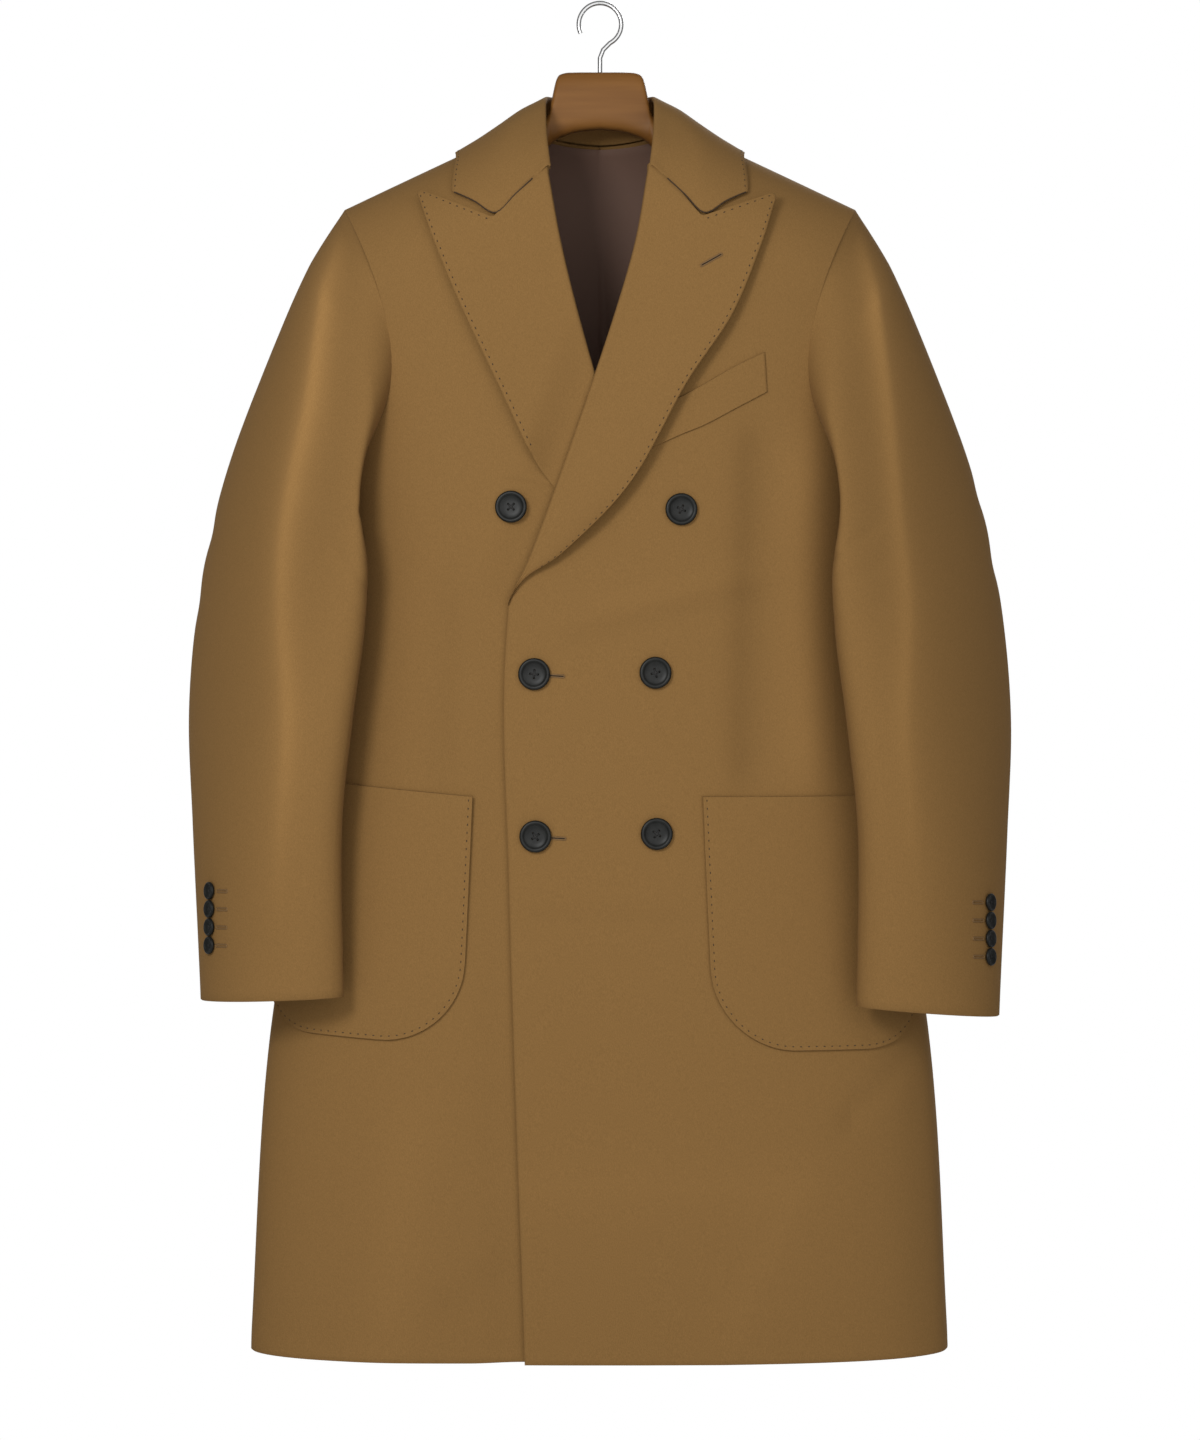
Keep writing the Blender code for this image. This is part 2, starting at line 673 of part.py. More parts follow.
def collar_section(place):
    """Outer and inner lines of the collar at a place from -1 (left notch) to 1 (right notch)."""
    value = {n: along(whole_collar(), COLLAR_COLUMNS, n, (place + 1) / 2) for n in COLLAR_COLUMNS}
    fold = at_height(value["fold_x"], value["fold_y"], value["fold_drop"])
    neck = at_height(value["neck_x"], value["neck_y"], value["neck_drop"])
    fall = collar_fall(value, fold, COLLAR_LIFT, abs(place) > 0.99)
    under = collar_fall(value, fold - np.array((0, 0, WALL)), COLLAR_LIFT - WALL, abs(place) > 0.99)
    out = (fall[0] - fold) * np.array((1, 1, 0))
    out = out / np.linalg.norm(out)
    up = np.array((0, 0, 1.0))
    stand = neck - fold
    outer = [neck - stand * s + out * o + up * r for s, o, r, _, _, _ in COLLAR_STAND]
    inner = [neck - stand * s + out * o + up * r for _, _, _, s, o, r in COLLAR_STAND]
    return outer + fall, inner + under


def collar_fall(value, fold, lift, bent):
    """Line of the collar's fall, from the fold to its edge; the front end is bent at the notch."""
    mid = collar_bed(value["mid_x"], value["mid_turn"], lift)
    crown = (fold + mid) / 2 + np.array((0, 0, 0.0 if bent else COLLAR_CROWN))
    line = [fold * (1 - f) ** 2 + crown * 2 * f * (1 - f) + mid * f * f for f in COLLAR_FALL_SHARES]
    for f in (0.5, 1.0):
        x = value["mid_x"] + (value["edge_x"] - value["mid_x"]) * f
        turn = value["mid_turn"] + (value["edge_turn"] - value["mid_turn"]) * f
        line.append(collar_bed(x, turn, lift))
    return line


def collar_bed(x, turn, out):
    """Point over the shoulder, by x and by its angle down to the front (or the back, minus)."""
    face = -1 if turn >= 0 else 1
    return on_body(x, shoulder_line(x) + SHOULDER_ROUND * (1 - math.cos(math.radians(turn))), face, out)


def collar(half_sections=15):
    places = np.linspace(-1, 1, 2 * half_sections + 1)
    sections = [collar_section(p) for p in places]
    return wall("collar", [s[0] for s in sections], [s[1] for s in sections], CAMEL)


# Pockets, welt and buttons
def ring_walk(side, drop, start_x, distance):
    """Angle round the ring at a distance from x on the front, measured towards the side."""
    turn = turn_at(start_x, drop, -1)
    step = 0.02
    walked = 0.0
    here = body_point(side, turn, drop)
    while walked < distance:
        there = body_point(side, turn - step, drop)
        piece = np.linalg.norm(there - here)
        if walked + piece > distance:
            return turn - step * (distance - walked) / piece
        walked += piece
        turn -= step
        here = there
    return turn


def pocket(name, side, front_x, top_front, top_back, bottom, columns=17, rows=8):
    """A patch pocket with round lower corners, laid round the front and the side panel."""
    outer = []
    inner = []
    for row in np.linspace(0, 1, rows):
        outer_row = []
        inner_row = []
        for share in np.linspace(0, 1, columns):
            reach = share * POCKET_WIDTH
            top = top_front + (top_back - top_front) * share
            from_end = min(reach, POCKET_WIDTH - reach)
            short = max(POCKET_CORNER - from_end, 0.0)
            low = bottom - POCKET_CORNER + math.sqrt(POCKET_CORNER ** 2 - short ** 2)
            drop = top + (low - top) * row
            turn = ring_walk(side, drop, front_x, reach)
            normal = body_normal(side, turn, drop)
            bed = body_point(side, turn, drop)
            inner_row.append(bed + normal * POCKET_LAY)
            outer_row.append(bed + normal * (POCKET_LAY + POCKET_WALL))
        outer.append(outer_row)
        inner.append(inner_row)
    return wall(name, outer, inner, CAMEL)


def breast_welt(rows=4):
    """The welt of the breast pocket, which slopes up to the side and runs in under the lapel."""
    outer = []
    inner = []
    for top_x, top_drop, low_x, low_drop in WELT:
        line = [(top_x + (low_x - top_x) * s, top_drop + (low_drop - top_drop) * s)
                for s in np.linspace(0, 1, rows)]
        outer.append([on_body(x, d, -1, LAY + WELT_WALL) for x, d in line])
        inner.append([on_body(x, d, -1, LAY) for x, d in line])
    return wall("breast_welt", outer, inner, CAMEL)


def button(name, seat, normal, size, sides=16):
    """A turned button with a raised rim, on its seat."""
    width, thick = size
    radius = width / 2
    across = np.cross(normal, (0.0, 0.0, 1.0))
    across = across / np.linalg.norm(across)
    upright = np.cross(across, normal)
    rings = []
    for share, height in BUTTON_PROFILE:
        middle = seat + normal * (LAY + thick * height)
        rings.append([middle + radius * share * (across * math.cos(a) + upright * math.sin(a))
                      for a in np.linspace(0, math.tau, sides, endpoint=False)])
    return tube(name, rings, HORN)


def buttons():
    for index, (x, drop) in enumerate(FRONT_BUTTONS):
        depth = inset(x, drop) if x < cover_edge(drop) else 0.0
        turn = turn_at(x, drop, -1)
        normal = body_normal(1 if x >= 0 else -1, turn, drop)
        button(f"button_front_{index + 1}", on_body(x, drop, -1, -depth), normal, FRONT_BUTTON_SIZE)
    turn = math.radians(CUFF_BUTTON_TURN)
    for side, word in ((-1, "left"), (1, "right")):
        shares = np.linspace(0.6, 1, 81)
        drops = [drop_of(sleeve_point(side, s, turn)) for s in shares]
        for index in range(CUFF_BUTTON_COUNT):
            drop = CUFF_BUTTON_FIRST + SLEEVE_DROP[side] + index * CUFF_BUTTON_STEP
            share = float(np.interp(drop, drops, shares))
            normal = sleeve_normal(side, share, turn)
            button(f"button_cuff_{word}_{index + 1}", sleeve_point(side, share, turn), normal,
                   CUFF_BUTTON_SIZE, 12)


# Hanger
def hanger():
    """The wooden hanger: a head with an arched underside and two arms under the shoulders."""
    halves = [row[0] for row in HANGER]
    places = [-x for x in halves[:0:-1]] + halves
    rings = []
    for x in places:
        _, top, bottom, half_depth, squareness = HANGER[halves.index(abs(x))]
        middle = (top + bottom) / 2
        half = (bottom - top) / 2
        points = []
        for a in np.linspace(0, math.tau, HANGER_SIDES, endpoint=False):
            c = math.copysign(abs(math.cos(a)) ** squareness, math.cos(a))
            s = math.copysign(abs(math.sin(a)) ** squareness, math.sin(a))
            points.append(at_height(x, half_depth * s, middle - half * c))
        rings.append(points)
    return tube("hanger", rings, WOOD)


def hanger_hook():
    """The steel hook: a stem out of the head, a swing to one side and a round bend over the top."""
    centre = HOOK_WIRE - HOOK_BEND
    low = centre - HOOK_BEND
    line = [(0.0, -HOOK_RISE + 2 * SEAM), (0.0, low - HOOK_STEM[0]), (HOOK_SWING, low - HOOK_STEM[1])]
    for angle in np.linspace(*HOOK_ANGLES, 18):
        a = math.radians(angle)
        line.append((HOOK_BEND * math.cos(a), centre + HOOK_BEND * math.sin(a)))
    line = np.array(line)
    heading = np.gradient(line, axis=0)
    heading[0] = (0.0, 1.0)
    rings = []
    for (x, z), (dx, dz) in zip(line, heading):
        length = math.hypot(dx, dz)
        sideways = np.array((dz / length, 0.0, -dx / length))
        middle = np.array((x, 0.0, z))
        depthways = np.array((0.0, 1.0, 0.0))
        rings.append([middle + HOOK_WIRE * (sideways * math.cos(a) + depthways * math.sin(a))
                      for a in np.linspace(0, math.tau, HOOK_SIDES, endpoint=False)])
    return tube("hanger_hook", rings, STEEL)


def main():
    for old in list(bpy.data.objects):
        bpy.data.objects.remove(old)
    front_panel("front_over", 1, LAPEL_OVER, 11, HEM_DROP, lambda x, d: 0.0)
    front_panel("front_under", -1, LAPEL_UNDER, 11, HEM_DROP - UNDER_HEM_RISE, inset)
    for side, word in ((-1, "left"), (1, "right")):
        back_panel(f"back_{word}", side, 9)
        side_panel(f"side_{word}", side, 9)
    lining_back()
    sleeves()
    lapel("lapel_over", 1, LAPEL_OVER, False, 1.0)
    lapel("lapel_under", -1, LAPEL_UNDER, True, 0.96)
    collar()
    for side, *sizes in POCKETS:
        pocket("pocket_left" if side < 0 else "pocket_right", side, *sizes)
    breast_welt()
    buttons()
    hanger()
    hanger_hook()


main()
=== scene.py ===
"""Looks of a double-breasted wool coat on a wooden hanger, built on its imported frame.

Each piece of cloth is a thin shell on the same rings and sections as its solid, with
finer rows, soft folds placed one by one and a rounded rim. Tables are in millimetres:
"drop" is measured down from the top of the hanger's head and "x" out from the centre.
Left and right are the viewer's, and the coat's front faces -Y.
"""
import math

import bpy
import numpy as np
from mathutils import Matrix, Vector


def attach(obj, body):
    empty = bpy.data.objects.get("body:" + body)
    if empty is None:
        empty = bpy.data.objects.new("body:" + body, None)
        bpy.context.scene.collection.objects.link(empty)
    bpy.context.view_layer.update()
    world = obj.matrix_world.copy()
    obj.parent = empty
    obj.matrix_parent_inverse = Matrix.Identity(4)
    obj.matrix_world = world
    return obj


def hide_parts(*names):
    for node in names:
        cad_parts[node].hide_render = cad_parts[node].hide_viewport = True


MM = 0.001
SIDE_WORD = {-1: "left", 1: "right"}

# Driving sizes, as in the solids
HOOK_RISE = 54.0
CHEST_DROP = 330.0
HEM_DROP = 1018.0
WALL = 2.0
LINING_WALL = 1.0
SEAM = 0.15
LAY = 0.5
LINING_LAY = 2.2
COVER_INSET = 5.4
COVER_START = 42.0
COVER_RUN = 36.0
UNDER_HEM_RISE = 3.0
NECK_HALF = 59.5
NECK_BACK = 50.5
SHOULDER_HALF = 204.0
SHOULDER_DROP = 110.0
SHOULDER_SLOPE = 0.4676
SHOULDER_ROUND = 75.0
RING_POWER = 2.6

# Steps round and down the body that give its outward direction, and how much up counts as outward
TURN_STEP = 0.012
DROP_STEP = 0.6
UPWARD = 60.0

# Rows of the body panels
ROUND_SHARE = 0.29
ROUND_ROWS = 14
CHEST_ROWS = 26
CORNER_ROWS = 8
SKIRT_ROWS = 140
SETTLE_ROUNDS = 12  # rounds in which a row finds its boundary
ARMHOLE_POINTS = 80

# Rows and columns of the shells, and how far their rims are rounded
FRONT_COLUMNS = 80
BACK_COLUMNS = 56
SIDE_COLUMNS = 44
TOP_SLEEVE_COLUMNS = 64
UNDER_SLEEVE_COLUMNS = 36
LAPEL_ROWS = 120
LAPEL_COLUMNS_FLAT = 34
LAPEL_COLUMNS_ROLL = 12
COLLAR_HALF_SECTIONS = 70
COLLAR_LINE = 44
POCKET_GRID = (56, 72)
WELT_GRID = (48, 20)
CROWDING = 0.11  # how much rows crowd near the ends
SHARP_ANGLE = math.radians(65)
EDGE_ROUND = 0.8
SEAM_ROUND = 0.4
RIM_MOST = 0.45  # largest share of a face that a rim takes
SHORTEST_STEP = 0.01
TINY = 1e-9

# Rims at the first and last row and the first and last column
FREE_RIM = (EDGE_ROUND, EDGE_ROUND, EDGE_ROUND, EDGE_ROUND)
FRONT_RIM = (SEAM_ROUND, EDGE_ROUND, EDGE_ROUND, 0.0)
SEWN_RIM = (SEAM_ROUND, EDGE_ROUND, SEAM_ROUND, SEAM_ROUND)
TOP_SLEEVE_RIM = (SEAM_ROUND, EDGE_ROUND, SEAM_ROUND, 0.0)
UNDER_SLEEVE_RIM = (SEAM_ROUND, EDGE_ROUND, 0.0, SEAM_ROUND)
ALLOWANCE = 5.0  # seam allowance turned in behind the next piece
ALLOWANCE_DEPTH = 0.3  # how far it lies behind that piece

# The body's rings
BODY_COLUMNS = ("drop", "half", "front", "back")
BODY = (
    (0, 236, 66, 58),
    (110, 232, 76, 64),
    (310, 212, 84, 70),
    (450, 212, 82, 66),
    (620, 236, 84, 74),
    (745, 258, 86, 78),
    (1030, 278, 88, 82),
)

# Four lines down each sleeve, the outer, front, inner and back one, each with x, y and drop
SLEEVE = (
    (204, 0, 110, 163, -66, 245, 212, 0, 318, 168, 60, 235),
    (232, 2, 153, 176, -88, 275, 220, -12, 336, 205, 68, 262),
    (262, 6, 222, 190, -98, 310, 209, -42, 362, 244, 66, 312),
    (293, 9, 309, 207, -105, 365, 190, -68, 398, 276, 48, 375),
    (316, 8, 402, 230, -102, 430, 186, -80, 446, 284, 26, 438),
    (327, 0, 503, 244, -105, 515, 194, -85, 522, 284, 6, 518),
    (323, -22, 603, 255, -107, 605, 200, -91, 608, 276, -18, 606),
    (314, -47, 741, 262, -106, 741, 198, -95, 741, 262, -44, 741),
)
SLEEVE_DROP = {-1: 0.0, 1: 9.0}
CUFF_RISE = {-1: (3.5, 9.5), 1: (0.0, 11.0)}  # of the outer and inner line, over the solids
CUFF_RISE_START = 0.72
SLEEVE_GAP = 0.1
SLEEVE_SETTLE = 0.14
SLEEVE_HEAD = 0.32  # share of the length above the widest straight line across the cut
SLEEVE_ROWS = 130
TOP_SLEEVE_TURN = (-68.0, 152.0)
FRONT_SEAM_TURN = math.radians(135)
BACK_SEAM_TURN = math.radians(225)

# Front panel edges and seams
SIDE_SEAM_COLUMNS = ("drop", "front_x", "back_x")
SIDE_SEAM = ((440, 182, 185), (600, 186, 190), (1030, 207, 210))
FREE_EDGE_COLUMNS = ("drop", "x")
FREE_EDGE = ((424, -71), (480, -74.5), (640, -71), (1030, -58))
LAPEL_COLUMNS = ("roll_x", "roll_drop", "edge_x", "edge_drop")
LAPEL_OVER = (
    (40, 90, 136, 109),
    (31, 142, 122, 153),
    (17, 193, 100, 205),
    (-4, 257, 66, 257),
    (-32, 337, 24, 333),
    (-53, 392, -26, 385),
    (-64, 412, -56, 405.5),
    (-71, 426, -69.5, 421),
)
LAPEL_UNDER = (
    (-43, 92, -142, 105),
    (-34, 142, -127, 148),
    (-22, 193, -106, 198),
    (-4, 257, -76, 262),
    (9, 296, -49, 318),
    (23, 331, -16, 362),
)
NOTCH_SHARE = 0.38
NOTCH = {1: (79.0, 126.0), -1: (-83.0, 127.0)}

# The lapel's roll (outer step and height, inner step and height), lift and shape
LAPEL_ROLL = ((-3.2, -1.5, -1.0, -1.5), (-2.8, 1.5, -1.0, 0.4), (-0.6, 3.2, -0.2, 0.9))
LAPEL_LIFT = {1: (5.5, 12.5), -1: (3.0, 6.0)}
LAPEL_LIFT_RUN = 0.5
LAPEL_SEAMS = 3  # how many seam gaps it lies below its roll line's table
LAPEL_FLAT_START = 0.08  # share of the width where the roll ends
LAPEL_BRIDGE = (0, 3)  # flat points that the roll runs on to
LAPEL_TIP = 5.0  # radius of the peak
LAPEL_EDGE_LENGTH = 290.0
LAPEL_ROW_POWER = 1.35  # crowds the rows near the peak
LAPEL_PUFF = 1.4
LAPEL_FULL_WIDTH = 40.0
LAPEL_NOTCH_RUN = 0.35
LAPEL_TOP_RUN = 0.2
LAPEL_HIDDEN_FLAT = 0.22
LAPEL_UNDER_END = 0.96
LAPEL_TUCK = (0.0, 2.0, 6.0)  # how far the seam at the top runs in under the collar
LAPEL_TUCK_LEAST = 0.05

# The collar's sections from the centre back to the notch
COLLAR_COLUMNS = ("fold_x", "fold_y", "fold_drop", "mid_x", "mid_turn", "edge_x", "edge_turn",
                  "neck_x", "neck_y", "neck_drop")
COLLAR = (
    (0, 50, 12, 0, -64, 0, -89, 0, 49.0, 49.8),
    (22, 44, 13, 30, -55, 48, -74, 28, 40.4, 48.0),
    (38, 24, 16, 56, -34, 88, -44, 47.5, 25.4, 44.6),
    (43.5, 0, 20, 70, 3, 111, -2, 56.5, 0, 41.2),
    (44.5, -27, 31, 76, 38, 113, 30, 54.5, -25, 45.5),
    (44, -58, 60, 78, 66, 115, 51, 46.0, -52.5, 66.0),
    (42, -75, 86, 81, 87, 115, 60, 38.2, -68.6, 87.5),
)

# The collar's stand (outer up, out and rise, inner up, out and rise), fall and lift
COLLAR_STAND = (
    (0.0, 0.0, 0.0, 0.0, 1.8, 0.0),
    (0.5, -1.0, 0.0, 0.5, 0.8, 0.0),
    (0.88, -3.2, 0.0, 0.8, -1.2, 0.0),
    (1.0, 0.0, 0.6, 1.0, 0.0, -1.4),
)
COLLAR_FALL_SHARES = (0.24, 0.6, 1.0)
COLLAR_LIFT = 4.0
COLLAR_CROWN = 4.0
COLLAR_END_RUN = 0.067  # share of the length in which the crown dies out
COLLAR_TOP_TURN = 10.0  # the bed blends from back to front within this angle
COLLAR_MID_RISE = 6.0  # how much higher the fall rolls over the top of the shoulder
COLLAR_EASE = (22.0, 60.0)  # rounds the shoulder line under the collar near the centre back
COLLAR_EDGE_RISE = 0.8  # share of that between the middle of the fall and its edge

# Pockets: side, front x, drop of the top at the front and back, of the bottom, and its rise
POCKETS = ((-1, 102, 577, 560, 771, 12), (1, 83, 577, 577, 775, 0))
POCKET_WIDTH = 186.0
POCKET_CORNER = 65.0
POCKET_SLANT = (9.0, 0.4)  # shift of the front edge down its length, and where it is 0
POCKET_WALL = 2.2
POCKET_LAY = 0.8
POCKET_LEVELS = 30
POCKET_ARC = 20
WALK_TURN = 1.9  # longest way round the ring, and its points
WALK_POINTS = 240

# The breast welt: x and drop of its top and of its low edge
WELT = (
    (128, 231, 130, 262),
    (104, 243, 106, 275),
    (80, 257, 82, 288),
    (62, 267, 63, 296),
    (38, 278, 39, 307),
)
WELT_WALL = 1.6

# Buttons, the front ones by x and drop
FRONT_BUTTONS = ((-69, 352), (63, 354), (-51, 482), (43, 481), (-50, 608), (44, 606))
FRONT_BUTTON_SIZE = (25.0, 4.2)
CUFF_BUTTON_SIZE = (13.9, 3.0)
CUFF_BUTTON_FIRST = 651.0
CUFF_BUTTON_STEP = 14.1
CUFF_BUTTON_TURN = 40.0
CUFF_BUTTON_COUNT = 4
CUFF_SHARES = (0.6, 0.99, 60)  # where the cuff's drops are read
CUFF_STEPS = (0.02, 0.006)  # small steps round and down a cuff
FRONT_BUTTON_SPIN = 0.35
CUFF_BUTTON_SPIN = 0.5

# Sections of the hanger: x, drop of top and bottom, half depth and squareness
HANGER = (
    (0, 0, 45, 10.5, 0.6),
    (18, 0, 47, 10.5, 0.6),
    (29, 0.8, 50.5, 10.5, 0.6),
    (34.5, 5, 53, 10.5, 0.6),
    (38.5, 21, 56, 10.5, 0.7),
    (41.5, 33, 59, 11, 0.8),
    (50, 43.0, 66, 11.5, 0.9),
    (62, 46.0, 75, 13, 1.0),
    (110, 68.4, 104, 15, 1.0),
    (160, 91.8, 132, 17, 1.0),
    (184, 103.6, 142, 15, 1.0),
    (192, 111.1, 138, 9, 1.0),
)
HANGER_SIDES = 40
HANGER_RINGS = 12  # rings between two rows of the table
HOOK_WIRE = 1.9
HOOK_BEND = 17.0
HOOK_ANGLES = (-62, 205)
HOOK_STEM = (10.0, 3.5)
HOOK_SWING = 2.5
HOOK_POINTS = 48
HOOK_SIDES = 20

# Folds of the body's cloth: where, place and drop of both ends, width, height, and whether it is sharp.
# A place is x on the front and back and y on the sides. A sharp fold is a pressed ridge.
FOLDS = (
    ("front", 120, 300, 114, 560, 14, -3.4, False),
    ("front", 160, 310, 164, 560, 22, 4.2, False),
    ("front", -25, 455, 128, 417, 9, -1.3, False),
    ("front", 5, 430, 120, 400, 12, 1.0, False),
    ("front", -54, 668, 66, 671, 7, -0.8, False),
    ("front", -58, 882, 158, 882, 26, 1.7, True),
    ("front", 158, 884, 98, 1006, 20, 1.6, True),
    ("front", 236, 790, 192, 832, 11, -1.8, False),
    ("front", -190, 710, -104, 712, 16, 1.0, True),
    ("front", -128, 976, -78, 944, 12, -1.0, False),
    ("front", -150, 830, -170, 1010, 26, 1.8, False),
    ("front", -118, 420, -124, 560, 16, -1.4, False),
    ("back", -66, 560, -92, 1016, 24, 3.0, False),
    ("back", -22, 600, -30, 1016, 17, -2.2, False),
    ("back", 74, 540, 104, 1016, 26, 2.8, False),
    ("back", 30, 640, 40, 1016, 16, -2.0, False),
    ("back", -150, 452, -40, 470, 10, -1.4, False),
    ("back", 44, 448, 156, 430, 10, -1.3, False),
    ("back", -120, 480, -24, 505, 11, 1.1, False),
    ("back", -128, 170, -146, 300, 14, -1.6, False),
    ("back", 130, 175, 148, 300, 14, -1.6, False),
    ("back", -96, 900, 60, 908, 22, 0.9, True),
    ("left", -10, 560, -22, 1016, 18, 2.4, False),
    ("left", 32, 600, 40, 1016, 16, -2.0, False),
    ("right", 4, 580, 14, 1016, 18, 2.4, False),
    ("right", -40, 620, -44, 1016, 15, -1.8, False),
)
FOLD_TIP = 2.0  # rounds a sharp fold
FOLD_FADE = 24.0  # depth in which the front's and back's folds die out at the side
FOLD_SIDE = (150.0, 60.0)  # x where the sides' folds start, and their run
FOLD_TOP_RUN = 60.0

# Folds of the sleeves: side, angle from the outer line and share of the length at both ends, then as above
SLEEVE_FOLDS = (
    (-1, 128, 0.33, 74, 0.42, 9, -1.0, False),
    (-1, 150, 0.50, 100, 0.47, 8, -0.9, False),
    (1, 140, 0.42, 88, 0.44, 7, -1.1, False),
    (1, 138, 0.47, 92, 0.50, 7, -1.0, False),
    (1, 144, 0.53, 104, 0.53, 8, 0.8, False),
    (-1, -14, 0.52, -54, 0.47, 13, -1.7, False),
    (-1, -18, 0.60, -60, 0.57, 13, -1.5, False),
    (1, -14, 0.55, -54, 0.49, 13, -1.7, False),
    (1, -18, 0.46, -56, 0.42, 12, -1.4, False),
    (-1, -80, 0.20, -120, 0.30, 16, -2.0, False),
    (1, -76, 0.20, -122, 0.32, 16, -2.0, False),
)

# A pressed ridge down the front of each sleeve: its angle at shares of the length, and its strength, which
# sets its height and a painted highlight along it
RIDGE_COLUMNS = ("share", "left_turn", "right_turn", "left_nap", "right_nap")
RIDGE = (
    (0.07, 21, 21, 0.00, 0.00),
    (0.17, 33, 34, 0.90, 0.92),
    (0.30, 48, 49, 0.90, 0.66),
    (0.46, 60, 70, 0.74, 0.48),
    (0.58, 76, 84, 0.52, 0.40),
    (0.71, 92, 98, 0.50, 0.30),
    (0.80, 97, 102, 0.36, 0.18),
    (0.95, 100, 104, 0.00, 0.00),
)
RIDGE_WIDTH = 9.5
RIDGE_TIP = 3.0  # rounds the ridge
RIDGE_HEIGHT = 5.5  # for a strength of 1
SLEEVE_GIRTH = 72.0  # mean radius, which turns an angle into a distance
SLEEVE_LENGTH = 640.0
SLEEVE_SEAM_RUN = 0.04  # share of its length in which the sleeve's wall turns in at the armhole

# The lining and its centre pleat
LINING_HALF = 104.0
LINING_BOTTOM = 430.0
LINING_BELOW_NECK = 1.0
LINING_CLEAR = 10.0
LINING_TOP_RISE = (5.0, 48.0)  # how much higher the top is at this distance from the centre
LINING_COLUMNS = 81
LINING_ROWS = 60
PLEAT_TOP = 84.0
PLEAT_RUN = 190.0
PLEAT_RISE = 8.5
PLEAT_WIDTH = 10.0
PLEAT_CLOSED = 0.4  # share of that width at its top
PLEAT_UNDER = 0.35  # height of the pleat's under side, as a share of the other

# Sewing: stitches in from an edge, and buttonholes with their length
STITCH_IN = 3.3
STITCH_STEP = 6.2
STITCH_SIZE = (1.9, 1.0, 0.7)
STITCH_BALL = (4, 8)  # rows and sides
LAPEL_EDGE_TRIM = (8, LAPEL_ROWS // 6)  # rows without stitches
LAPEL_TOP_TRIM = 2
STITCH_GROOVE = (0.45, 1.6)  # depth and width
GORGE_OUT = (0.0, -0.7, 0.0)
GORGE_RADIUS = 0.5  # of a dark line of painted shade along the seam between the collar and a lapel
HOLE_WIRE = 0.65
HOLE_HALF_WIDTH = 0.95
HOLE_SLIT_SHARE = 0.6  # radius of the dark tube of painted shade in the cut, as a share of that half width
HOLE_SLIT_DEPTH = 0.1
HOLE_SLIT_POINTS = 6
HOLE_END_POINTS = 9
WIRE_SIDES = 8
STEEP = 0.9  # a tube that heads this much along Y starts from X
FRONT_HOLE_SHIFT = 10.0  # from the button's middle to the middle of its buttonhole
FRONT_HOLE_LENGTH = 25.0
FRONT_HOLE_DROP = 1.0
FRONT_HOLE_HEADING = (1.0, 0.0, -0.06)
CUFF_HOLE_TURN = 53.0
CUFF_HOLE_LENGTH = 12.0
LAPEL_HOLE = ((78.5, 163.7), (94.0, 156.0))

# Turned buttons: profile by shares of the radius and of the thickness, then holes and thread
BUTTON_PROFILE = (
    (0.72, 0.0), (0.86, 0.08), (0.97, 0.3), (1.0, 0.55), (0.98, 0.82), (0.92, 0.97),
    (0.85, 1.0), (0.79, 0.95), (0.73, 0.8), (0.66, 0.68), (0.4, 0.6),
)
BUTTON_DISH = 0.58  # height of the thread's bed
BUTTON_SIDES = 48
BUTTON_SHARP_ANGLE = math.radians(38)
BUTTON_HOLE_PLACE = 0.17
BUTTON_HOLE_RADIUS = 0.075
BUTTON_HOLE_SIDES = 14
BUTTON_THREAD_SHARE = 0.8  # thread's radius, as a share of the hole's
BUTTON_THREAD_POINTS = 9
BUTTON_THREAD_RISE = 0.1
BUTTON_THREAD_SINK = (0.25, 6)  # how deep its ends go in, and how suddenly

# Name of the painted shading that follows the folds, lighter where they stand out and darker in their
# troughs, and how much of it a millimetre of fold gives
PAINTED_SHADING = "fibre_and_painted_shading"
PAINTED_SHADING_BODY = 0.03

# Colours, linear
WOOL_DARK = (0.205, 0.111, 0.036)
WOOL_LIGHT = (0.262, 0.144, 0.048)
WOOL_SHEEN = 0.05
WOOL_SHEEN_TINT = (0.75, 0.55, 0.3)
LINING_COLOR = (0.150, 0.088, 0.064)
WOOD_DARK = (0.165, 0.066, 0.013)
WOOD_LIGHT = (0.240, 0.105, 0.024)
HORN_DARK = (0.0070, 0.0074, 0.0066)
HORN_LIGHT = (0.0135, 0.0140, 0.0125)
THREAD_COLOR = (0.045, 0.023, 0.008)
HOLE_THREAD_COLOR = (0.175, 0.095, 0.031)
# painted shade in the opening of a cut buttonhole
SLIT_SHADE_COLOR = (0.020, 0.011, 0.005)
BUTTON_THREAD_COLOR = (0.012, 0.011, 0.010)
STEEL_COLOR = (0.6, 0.6, 0.6)

# Light, and the camera of the photograph. Lamps have a place, a point that they face, size and power.
LAMPS = (
    ("key", (-0.62, -1.65, -0.02), (0.0, 0.0, -0.42), 0.45, 12.6),
    ("fill", (0.75, -1.9, -0.1), (0.0, 0.0, -0.4), 1.6, 5.0),
    ("back", (0.5, 2.2, 0.9), (0.0, 0.0, -0.4), 0.9, 24.0),
)
WORLD_PALE = 1.0  # light from the front and the back
WORLD_DIM = 0.2  # light from the sides, above and below
WORLD_STOPS = (0.5, 0.93)  # where it grows from dim to pale, from 0 at the side to 1 in front
CAMERA_DISTANCE = 2.8
CAMERA_HEIGHT = -0.5716
CAMERA_VIEW_WIDTH = 0.96
SENSOR_WIDTH = 36.0
FLOOR_HEIGHT = -1.34
FLOOR_RADIUS = 0.9
FLOOR_SIDES = 96
FLOOR_COLOR = (0.8, 0.8, 0.8)


# Tables and curves
def column(table, names, name):
    """One named column of a table."""
    return np.array([row[names.index(name)] for row in table], float)


